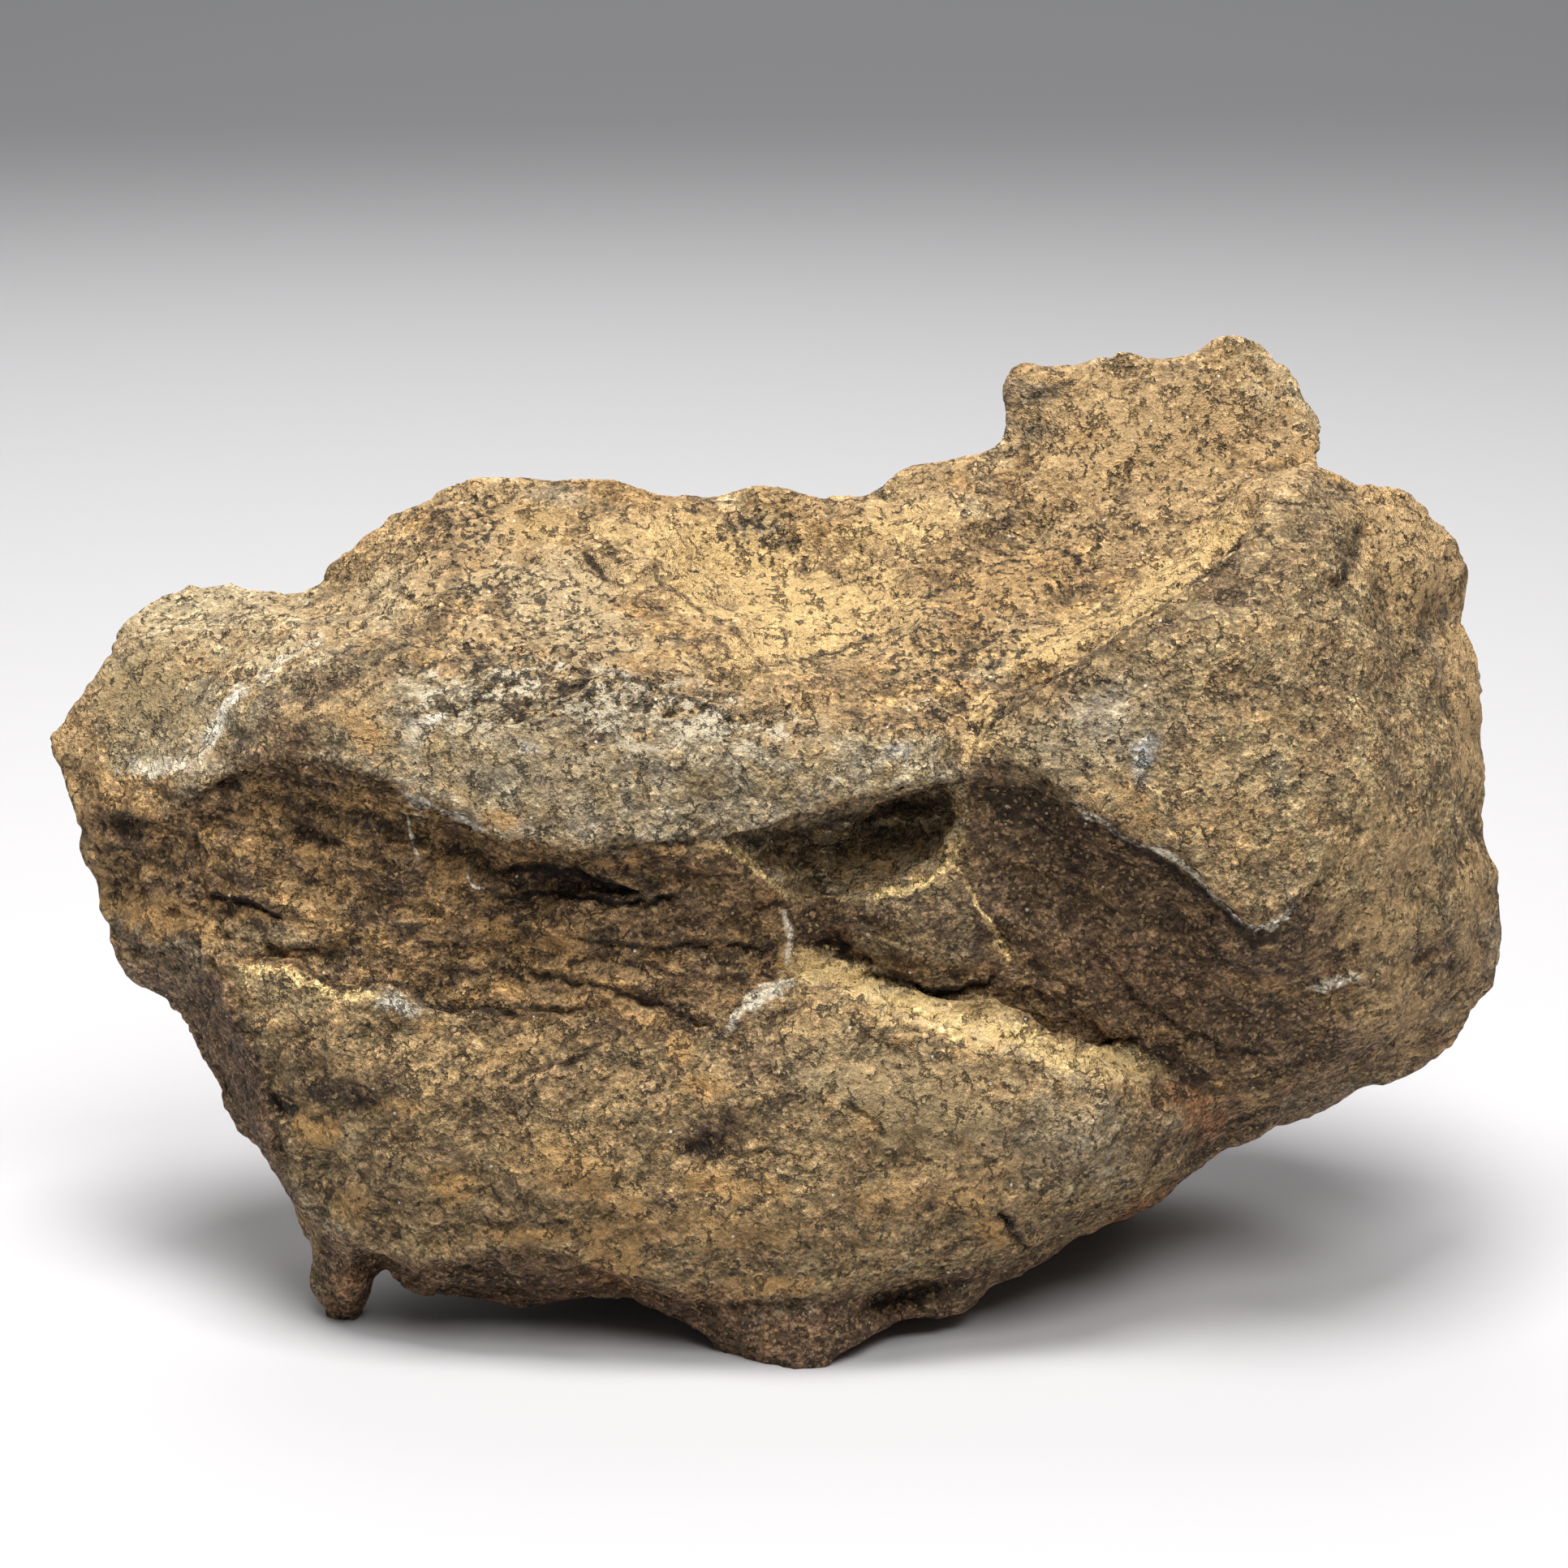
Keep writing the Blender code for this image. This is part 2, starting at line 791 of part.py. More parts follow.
def sheet(lines, side):
    """Triangles over the outline that keep every form line as an edge: (drawn points, triangles).

    side is 1 for the front and -1 for the rear. A triangle that only the outline makes, as in a
    sharp corner, is given a middle point that stands out, so that the corner has a thickness.
    """
    points = list(OUTLINE)
    count = len(points)
    edges = [(index, (index + 1) % count) for index in range(count)]
    for line in lines:
        first = len(points)
        points.extend(line)
        edges.extend((first + index, first + index + 1) for index in range(len(line) - 1))
    flat = [Vector((across, up)) for across, up, near in points]
    places, _, triangles, sources, _, _ = geometry.delaunay_2d_cdt(flat, edges, [], 1, 0.01)
    drawn = []
    for place, source in zip(places, sources):
        if not source:
            raise ValueError(f"two form lines cross near {place.x:.1f}, {place.y:.1f}")
        drawn.append((place.x, place.y, points[source[0]][2]))
    on_outline = [min(source) < count for source in sources]
    whole = []
    for triangle in triangles:
        if not all(on_outline[index] for index in triangle):
            whole.append(triangle)
            continue
        middle = sum((Vector(drawn[index]) for index in triangle), Vector()) / 3
        drawn.append((middle.x, middle.y, middle.z + side * CORNER_THICKNESS))
        for index in range(3):
            whole.append((triangle[index - 1], triangle[index], len(drawn) - 1))
    return drawn, whole


def rough_stone():
    """The faceted stone: the front and rear sheets joined along the outline."""
    shape = bmesh.new()
    made = {}
    for lines, side in ((FRONT_LINES, 1), (REAR_LINES, -1)):
        drawn, triangles = sheet(lines, side)
        for triangle in triangles:
            corners = []
            for index in triangle[::side]:
                key = tuple(round(value, 3) for value in drawn[index])
                if key not in made:
                    made[key] = shape.verts.new(to_stone(*drawn[index]))
                corners.append(made[key])
            shape.faces.new(corners)
    mesh = bpy.data.meshes.new("rough")
    shape.to_mesh(mesh)
    shape.free()
    return mesh


def with_modifier(mesh, kind, **settings):
    """A copy of the mesh with one modifier applied."""
    holder = bpy.data.objects.new("holder", mesh)
    bpy.context.scene.collection.objects.link(holder)
    modifier = holder.modifiers.new(kind.lower(), kind)
    for name, value in settings.items():
        setattr(modifier, name, value)
    graph = bpy.context.evaluated_depsgraph_get()
    changed = bpy.data.meshes.new_from_object(holder.evaluated_get(graph))
    bpy.data.objects.remove(holder)
    bpy.data.meshes.remove(mesh)
    return changed


def smooth_step(low, high, value):
    part = min(1.0, max(0.0, (value - low) / (high - low)))
    return part * part * (3.0 - 2.0 * part)


def to_drawing(place):
    """(across, up) on the drawing of a point of the stone."""
    offset = place - FACE_CENTRE
    near = offset.z * math.sin(FACE_LEAN) - offset.y * math.cos(FACE_LEAN)
    scale = 1.0 - near / SIGHT_DISTANCE
    upward = offset.y * math.sin(FACE_LEAN) + offset.z * math.cos(FACE_LEAN)
    return offset.x / scale, upward / scale


def bedded(place, normal):
    """How far the beds show at this place: in patches on the steep faces, and nowhere on the top."""
    steep = 1.0 - smooth_step(0.45, 0.8, abs(normal.z))
    streak = Vector((place.x / 16.0, place.y / 16.0, place.z / 6.0))
    patch = smooth_step(-0.3, 0.3, noise.noise(streak + Vector((3.0, 8.0, 1.0))))
    if normal.y > 0.0:
        return steep * patch * REAR_BEDS
    across, up = to_drawing(place)
    shown = 0.0
    for middle_across, middle_up, half_width, half_height in FRONT_BEDS:
        reach = math.hypot((across - middle_across) / half_width, (up - middle_up) / half_height)
        shown = max(shown, 1.0 - smooth_step(0.7, 1.1, reach))
    return steep * patch * shown


def bed_profile(height):
    """The outline of the beds up a face: each stands out at its foot and draws back above it."""
    part = height / BED_SPACING - math.floor(height / BED_SPACING)
    if part < BED_EDGE:
        return part / BED_EDGE - 0.5
    return (1.0 - part) / (1.0 - BED_EDGE) - 0.5


def chipped(place):
    """How far a broken facet stands out: each chip is a small flat with a slope of its own."""
    warped = place + noise.noise_vector(place / WAVE_SPACING) * 2.0 * WAVE_HEIGHT
    middle = noise.voronoi(warped / CHIP_SIZE)[1][0]
    slope = noise.cell_vector(middle * CHIP_SEED) - Vector((0.5, 0.5, 0.5))
    return slope.dot(warped / CHIP_SIZE - middle)


def weathering(place, normal):
    """How far the surface stands out at this place, in millimetres."""
    lump = noise.fractal(place / LUMP_SPACING, 0.9, 2.1, 2)
    knob = noise.fractal(place / KNOB_SPACING + Vector((9.0, 2.0, 5.0)), 0.9, 2.0, 2)
    wave = WAVE_HEIGHT * noise.noise(place / WAVE_SPACING)
    warp = wave + RIPPLE_HEIGHT * noise.noise(place / RIPPLE_SPACING)
    height = place.z * math.cos(BED_DIP) + place.x * math.sin(BED_DIP) + warp
    nearest = noise.voronoi((place + Vector((warp, 0.0, 2.0 * warp))) / PIT_SPACING)[0][0]
    pit = 1.0 - smooth_step(0.05, 0.42, nearest)
    behind = smooth_step(-0.2, 0.3, normal.y)
    return (
        LUMP_HEIGHT * lump
        + KNOB_HEIGHT * knob
        + CHIP_HEIGHT * chipped(place) * (FRONT_CHIPS + (1.0 - FRONT_CHIPS) * behind)
        + BED_STEP * bed_profile(height) * bedded(place, normal)
        - PIT_DEPTH * pit * behind
    )


def weather(mesh):
    normals = [vertex.normal.copy() for vertex in mesh.vertices]
    for vertex, normal in zip(mesh.vertices, normals):
        vertex.co += normal * weathering(vertex.co.copy(), normal)


def set_on_feet(mesh):
    """Draws each foot down to FOOT_WEAR below the ground, so that the ground wears it flat."""
    for drawn in (LEFT_FOOT[2], SLAB_TIP[1], REAR_FOOT[1]):
        foot = to_stone(*drawn)
        nearby = [
            vertex
            for vertex in mesh.vertices
            if math.hypot(vertex.co.x - foot.x, vertex.co.y - foot.y) < FOOT_RADIUS
            and vertex.co.z < foot.z + FOOT_RADIUS
        ]
        lowest = min(nearby, key=lambda vertex: vertex.co.z)
        drop = lowest.co.z + FOOT_WEAR
        centre = lowest.co.copy()
        for vertex in nearby:
            reach = (vertex.co - centre).length / FOOT_RADIUS
            vertex.co.z -= drop * (1.0 - smooth_step(0.0, 1.0, reach))


def worn_flat(mesh):
    """The mesh cut off at the ground, with each foot closed by a flat."""
    shape = bmesh.new()
    shape.from_mesh(mesh)
    for vertex in shape.verts:
        if abs(vertex.co.z) < FOOT_LEVELLING:
            vertex.co.z = 0.0
    everything = list(shape.verts) + list(shape.edges) + list(shape.faces)
    cut = bmesh.ops.bisect_plane(
        shape,
        geom=everything,
        dist=0.001,
        plane_co=(0.0, 0.0, 0.0),
        plane_no=(0.0, 0.0, 1.0),
        clear_inner=True,
    )
    rims = [item for item in cut["geom_cut"] if isinstance(item, bmesh.types.BMEdge)]
    bmesh.ops.holes_fill(shape, edges=rims, sides=0)
    bmesh.ops.triangulate(shape, faces=[face for face in shape.faces if len(face.verts) > 3])
    bmesh.ops.recalc_face_normals(shape, faces=shape.faces)
    shape.to_mesh(mesh)
    shape.free()


def to_metres(mesh):
    for vertex in mesh.vertices:
        vertex.co *= MM


def stone_material():
    material = bpy.data.materials.new("weathered_stone")
    material.use_nodes = True
    surface = material.node_tree.nodes["Principled BSDF"]
    surface.inputs["Base Color"].default_value = STONE_COLOUR
    surface.inputs["Roughness"].default_value = STONE_ROUGHNESS
    surface.inputs["Metallic"].default_value = 0.0
    material.diffuse_color = STONE_COLOUR
    return material


def main():
    for obj in list(bpy.data.objects):
        bpy.data.objects.remove(obj)

    mesh = rough_stone()
    mesh = with_modifier(mesh, "REMESH", mode="VOXEL", voxel_size=MODEL_GRAIN)
    mesh = with_modifier(mesh, "SMOOTH", factor=0.5, iterations=ROUNDING_PASSES)
    weather(mesh)
    mesh = with_modifier(mesh, "SMOOTH", factor=0.5, iterations=WEATHERED_PASSES)
    set_on_feet(mesh)
    mesh = with_modifier(mesh, "TRIANGULATE")
    ratio = TRIANGLES / len(mesh.polygons)
    mesh = with_modifier(mesh, "DECIMATE", ratio=ratio)
    worn_flat(mesh)
    to_metres(mesh)
    mesh.name = "stone"

    stone = bpy.data.objects.new("stone", mesh)
    stone.data.materials.append(stone_material())
    bpy.context.scene.collection.objects.link(stone)


main()
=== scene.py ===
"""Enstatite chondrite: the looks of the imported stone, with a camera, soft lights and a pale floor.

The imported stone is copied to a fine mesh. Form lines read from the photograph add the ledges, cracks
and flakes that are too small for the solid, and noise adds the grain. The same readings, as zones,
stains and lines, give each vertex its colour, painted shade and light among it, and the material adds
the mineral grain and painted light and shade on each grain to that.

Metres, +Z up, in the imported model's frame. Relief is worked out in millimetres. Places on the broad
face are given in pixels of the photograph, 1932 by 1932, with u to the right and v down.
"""

import math

import bpy
import numpy as np
from mathutils import Euler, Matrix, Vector, noise


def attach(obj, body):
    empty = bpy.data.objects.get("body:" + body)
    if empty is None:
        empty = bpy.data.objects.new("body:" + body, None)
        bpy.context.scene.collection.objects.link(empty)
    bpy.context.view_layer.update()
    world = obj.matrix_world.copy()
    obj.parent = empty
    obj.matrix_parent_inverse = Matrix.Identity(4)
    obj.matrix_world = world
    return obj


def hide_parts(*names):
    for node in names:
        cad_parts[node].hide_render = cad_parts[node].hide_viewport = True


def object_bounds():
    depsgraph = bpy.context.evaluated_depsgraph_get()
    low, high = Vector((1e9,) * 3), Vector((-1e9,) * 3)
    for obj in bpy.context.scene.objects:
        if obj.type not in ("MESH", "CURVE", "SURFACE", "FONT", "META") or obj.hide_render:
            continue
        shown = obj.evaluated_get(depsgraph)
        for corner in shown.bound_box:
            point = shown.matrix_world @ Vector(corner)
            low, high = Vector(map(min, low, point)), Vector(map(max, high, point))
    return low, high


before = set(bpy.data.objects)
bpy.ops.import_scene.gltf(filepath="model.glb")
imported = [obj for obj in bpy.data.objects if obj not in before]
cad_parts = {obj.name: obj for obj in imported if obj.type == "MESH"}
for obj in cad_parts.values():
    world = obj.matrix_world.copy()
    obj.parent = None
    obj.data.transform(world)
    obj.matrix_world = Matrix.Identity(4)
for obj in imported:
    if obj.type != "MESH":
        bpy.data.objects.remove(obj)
cad_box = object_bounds()

MM = 0.001

# -------- the photograph's view

# The side of the photograph in pixels, and the size of one pixel on the stone in millimetres. The eye
# looks down by EYE_RISE at FACE_CENTRE, which is the middle of the photograph.
PICTURE_SIDE = 1932
PICTURE_MIDDLE = PICTURE_SIDE / 2
PIXEL = 0.05
EYE_RISE = math.radians(12)
EYE_DISTANCE = 300
FACE_CENTRE = np.array([0.6, -7.1, 31.9])
RIGHT = np.array([1, 0, 0])
UPWARD = np.array([0, math.sin(EYE_RISE), math.cos(EYE_RISE)])
TO_EYE = np.array([0, -math.cos(EYE_RISE), math.sin(EYE_RISE)])
SENSOR = 36

# -------- numbers for the mesh and the dust

# The voxels of the fine mesh are FINE_GRAIN millimetres wide. What lies lower than FOOT_HEIGHT is worn
# flat, nothing stands out from the stone round it by more than PROUDEST, and dust never covers more
# than the share DUSTIEST. The last two numbers shuffle and turn the grid that chips are cut from.
FINE_GRAIN = 0.26
ROUNDING_PASSES = 5
FRONT_TRIANGLES = 128000
REAR_TRIANGLES = 68000
FOOT_HEIGHT = 0.35
PROUDEST = 0.22
DUSTIEST = 0.88
CORNER_MIX = np.array([12.71, 31.17, 7.47])
GRID_TURN = np.array(Euler((0.5, 0.7, 0.3)).to_matrix())


def colour(red, green, blue):
    """The linear colour of an sRGB one given in 0 to 255."""
    parts = np.array([red, green, blue]) / 255
    return np.where(parts <= 0.04045, parts / 12.92, ((parts + 0.055) / 1.055) ** 2.4)


GOLD = colour(214, 181, 125)
# a gold brighter than the crust's own: partly painted light on the crust, bowl, gully and gold lines
LIT_SAND = colour(248, 215, 150)
TAN = colour(192, 160, 114)
PALE = colour(206, 188, 150)
CREAM = colour(232, 222, 200)
OCHRE = colour(186, 147, 94)
RUST = colour(150, 104, 68)
BROWN = colour(158, 130, 90)
OLIVE = colour(158, 138, 101)
GREY = colour(168, 155, 130)
DARK = colour(106, 85, 64)
UMBER = colour(134, 108, 79)
BLACK = colour(60, 47, 37)
SHADOW = colour(32, 24, 18)
# a blue-grey for painted glints: reflections on bright grains
GLINT = colour(172, 180, 184)
RED_BROWN = colour(132, 102, 76)

# -------- lines on the broad face, left to right

LOBE_FLAKE = [
    (194, 955), (236, 947), (252, 924), (268, 896), (277, 868), (310, 841), (354, 809),
    (402, 785), (450, 760),
]
BROW_RIM = [
    (205, 1000), (262, 965), (330, 938), (400, 942), (440, 950), (480, 970), (504, 986),
    (533, 996), (572, 1011), (596, 1028), (650, 1045), (700, 1055), (740, 1050), (800, 1040),
    (885, 1036),
]
BROW_RIM_WHITE = [(490, 978), (504, 984), (533, 994), (572, 1009), (598, 1027)]
NOTCH_RIM = [(885, 1036), (950, 1020), (1000, 1005), (1060, 988), (1120, 974), (1190, 965)]
NOTCH_SHADOW = [(890, 1042), (950, 1031), (1010, 1018), (1070, 1004), (1130, 992), (1184, 984)]
RIM_CRACK = [(612, 1064), (623, 1073), (657, 1070), (705, 1075), (725, 1082), (754, 1093), (793, 1103)]
RIM_CRACK_UNDER = [
    (600, 1100), (633, 1106), (681, 1100), (720, 1106), (763, 1113), (802, 1110), (850, 1100),
]
BED_CRACK = [(700, 1150), (745, 1160), (788, 1168), (831, 1167), (875, 1160), (938, 1170), (962, 1160)]
SMALL_FLAKE = [(500, 1000), (503, 1020), (510, 1040), (516, 1058)]
SMALL_FLAKE_UNDER = [(574, 1072), (584, 1092), (602, 1099)]
LEFT_BED_CRACK = [(248, 1104), (288, 1108), (312, 1113), (331, 1126), (350, 1128)]
LEFT_LEDGE = [
    (278, 1182), (331, 1181), (375, 1192), (399, 1210), (438, 1220), (472, 1210), (501, 1214),
    (520, 1239), (550, 1248), (593, 1243), (640, 1252), (700, 1256),
]
LEFT_LEDGE_GOLD = [(288, 1192), (351, 1200), (399, 1219), (428, 1233), (460, 1222), (477, 1214)]
BED_LINE = [(640, 1196), (700, 1204), (760, 1220), (820, 1244), (870, 1262), (900, 1262)]
SLAB_BACK_EDGE = [(893, 1274), (904, 1258), (915, 1238), (930, 1222), (960, 1212), (990, 1210)]
NOTCH_LEFT = [(888, 1036), (905, 1048), (925, 1064), (950, 1088), (975, 1104)]
NOTCH_RIGHT = [
    (1066, 1118), (1080, 1104), (1110, 1096), (1150, 1084), (1165, 1066), (1178, 1040),
    (1190, 1030),
]
WHITE_SPIKE = [(963, 1120), (968, 1140), (975, 1160), (972, 1190)]
SMALL_BLOCK_RIGHT = [(1186, 1085), (1204, 1115), (1222, 1140), (1236, 1170), (1240, 1196)]
SMALL_BLOCK_UNDER = [
    (1052, 1196), (1075, 1200), (1100, 1206), (1130, 1216), (1152, 1224), (1185, 1218),
    (1232, 1203),
]
CRUST_TOP = [
    (972, 1168), (1003, 1170), (1050, 1188), (1100, 1202), (1145, 1226), (1185, 1240),
    (1214, 1224), (1260, 1252), (1310, 1284), (1355, 1292), (1396, 1288), (1420, 1306),
    (1460, 1330),
]
CRUST_LIGHT = [
    (975, 1186), (1018, 1190), (1062, 1212), (1120, 1232), (1180, 1262), (1250, 1274),
    (1318, 1306), (1400, 1318),
]
FLAKE_EDGE = [
    (1205, 950), (1253, 938), (1290, 962), (1314, 981), (1337, 998), (1375, 1023), (1406, 1039),
    (1432, 1042), (1457, 1057), (1480, 1082), (1503, 1110), (1531, 1135), (1549, 1143),
    (1574, 1131), (1610, 1106), (1627, 1078), (1634, 1050),
]
FLAKE_WHITE = [
    (1310, 981), (1337, 1000), (1375, 1026), (1406, 1042), (1432, 1046), (1457, 1061),
    (1480, 1087), (1503, 1114), (1531, 1139), (1549, 1147), (1576, 1134), (1612, 1108),
]
FLAKE_SHADOW = [(1340, 1006), (1432, 1060), (1496, 1112), (1549, 1162), (1594, 1136)]
DARK_FACE_LAYER = [(1340, 1150), (1375, 1195), (1400, 1230), (1440, 1260), (1490, 1282), (1560, 1296)]
SLAB_GROOVE = [(613, 1336), (657, 1321), (705, 1306), (745, 1290)]
SLAB_LINE = [(880, 1428), (905, 1421), (948, 1417), (987, 1427)]
SLAB_CRACK = [(1030, 1357), (1050, 1362), (1074, 1378), (1098, 1398)]
SLAB_NOTCH = [(1237, 1484), (1242, 1505), (1252, 1524), (1270, 1542)]
SLAB_FOOT_LINE = [
    (450, 1532), (520, 1560), (600, 1552), (650, 1532), (700, 1545), (750, 1566), (800, 1588),
    (860, 1602), (950, 1604), (1040, 1596),
]
SLAB_SIDE_EDGE = [(276, 1200), (302, 1260), (330, 1330), (342, 1400), (352, 1450)]
GULLY_EDGE = [(1222, 912), (1250, 874), (1310, 830), (1400, 768), (1460, 728), (1515, 688), (1560, 628)]
BLOCK_CREST = [
    (1195, 950), (1205, 915), (1230, 880), (1250, 860), (1290, 840), (1340, 815), (1400, 770),
    (1450, 735), (1510, 695), (1540, 655), (1552, 622),
]
BLOCK_TOP_GROOVE = [(1668, 640), (1672, 668), (1664, 700), (1640, 735)]
BOWL_WALL = [(800, 690), (815, 720), (854, 746), (898, 772), (922, 793)]
BOWL_RIM = [(907, 832), (965, 818), (1023, 807), (1082, 784), (1130, 770)]
TOP_RIDGE = [(745, 832), (781, 837), (815, 850), (870, 868), (912, 893)]
TOP_DARK_RIDGE = [(540, 604), (552, 660), (562, 720), (545, 760), (500, 790), (450, 815)]
TOP_LINE = [(713, 676), (735, 700), (752, 722)]

# Relief along the lines: how far the stone stands out above the line and below it, in millimetres,
# and how far from the line each reaches, in pixels
RELIEF = [
    (LOBE_FLAKE, -0.3, 26, 0.35, 60),
    (BROW_RIM, 0.5, 30, -0.85, 17),
    (NOTCH_RIM, 0.45, 26, -1.3, 26),
    (RIM_CRACK, -1.1, 10, -1.1, 9),
    (RIM_CRACK_UNDER, 0.3, 20, -0.65, 9),
    (BED_CRACK, 0.2, 22, -0.6, 12),
    (SMALL_FLAKE, -0.2, 14, 0.25, 12),
    (SMALL_FLAKE_UNDER, -0.1, 12, 0.25, 10),
    (LEFT_BED_CRACK, 0.2, 20, -0.55, 9),
    (LEFT_LEDGE, -0.6, 14, 0.45, 30),
    (BED_LINE, 0.25, 20, -0.45, 12),
    (SLAB_BACK_EDGE, -0.55, 18, 0.3, 26),
    (NOTCH_LEFT, -0.3, 16, 0.2, 16),
    (NOTCH_RIGHT, -0.4, 16, 0.25, 16),
    (WHITE_SPIKE, 0.1, 8, 0.2, 10),
    (SMALL_BLOCK_RIGHT, -0.3, 14, 0.15, 20),
    (SMALL_BLOCK_UNDER, 0.45, 26, -0.8, 12),
    (CRUST_TOP, -0.8, 14, 0.45, 18),
    (FLAKE_EDGE, 0.65, 60, -0.75, 20),
    (DARK_FACE_LAYER, 0.22, 30, -0.22, 26),
    (GULLY_EDGE, -0.45, 26, 0.35, 24),
    (SLAB_GROOVE, 0.1, 18, -0.4, 10),
    (SLAB_LINE, 0.1, 16, -0.3, 8),
    (SLAB_CRACK, 0.1, 14, -0.45, 8),
    (SLAB_NOTCH, 0.15, 20, -0.7, 13),
    (SLAB_FOOT_LINE, 0.45, 26, -0.7, 24),
    (SLAB_SIDE_EDGE, -0.35, 22, 0.35, 30),
    (BLOCK_CREST, -0.6, 34, 0.4, 46),
    (BLOCK_TOP_GROOVE, -0.5, 22, -0.5, 16),
    (BOWL_WALL, -0.35, 16, 0.15, 24),
    (BOWL_RIM, -0.2, 18, 0.15, 18),
    (TOP_RIDGE, 0.15, 18, -0.2, 10),
    (TOP_DARK_RIDGE, 0.2, 22, 0.2, 22),
    (TOP_LINE, -0.35, 9, -0.35, 9),
]

# Hollows and knobs: middle (u, v), half width, half height, tilt in degrees, rise in millimetres
SPOTS = [
    (867, 1420, 34, 22, -8, -0.55),
    (375, 925, 34, 26, 20, -0.4),
    (160, 1020, 34, 18, 10, -0.5),
    (375, 1028, 26, 24, 0, -0.6),
    (1125, 1600, 66, 20, -10, -1.3),
    (1272, 1302, 40, 13, 14, 0.45),
    (1415, 1330, 15, 12, 0, 0.5),
    (492, 1240, 44, 24, 20, 0.55),
    (558, 1240, 34, 11, 8, -0.55),
    (1742, 808, 22, 16, -40, -0.55),
    (1640, 1212, 30, 14, -15, 0.3),
    (1748, 1180, 18, 24, 20, -0.35),
    (1025, 1166, 26, 8, 8, -0.6),
    (945, 655, 60, 16, -5, 0.25),
    (1362, 782, 7, 6, 0, -0.35),
    (350, 1365, 18, 16, 0, -0.25),
    (905, 770, 100, 34, 30, -0.15),
    (505, 1576, 34, 24, 20, 1.1),
    (1308, 472, 40, 20, 0, 0.55),
    (1388, 452, 36, 18, 0, -0.5),
]

# -------- zones of colour on the broad face

CRUST = [
    (962, 1150), (985, 1168), (1050, 1188), (1100, 1202), (1145, 1228), (1185, 1242),
    (1214, 1224), (1310, 1284), (1396, 1288), (1440, 1320), (1400, 1338), (1310, 1318),
    (1200, 1290), (1110, 1262), (1040, 1224), (985, 1208), (962, 1196),
]

FLAKY = [
    (480, 880), (560, 812), (700, 808), (860, 846), (1010, 892), (960, 922), (860, 918),
    (740, 922), (620, 896), (500, 905),
]

BLOCK_FACE = [
    (1214, 938), (1236, 894), (1290, 846), (1400, 772), (1510, 695), (1562, 622), (1600, 590),
    (1670, 600), (1680, 700), (1760, 800), (1800, 950), (1800, 1120), (1700, 1200),
    (1620, 1100), (1549, 1143), (1432, 1042), (1314, 981),
]

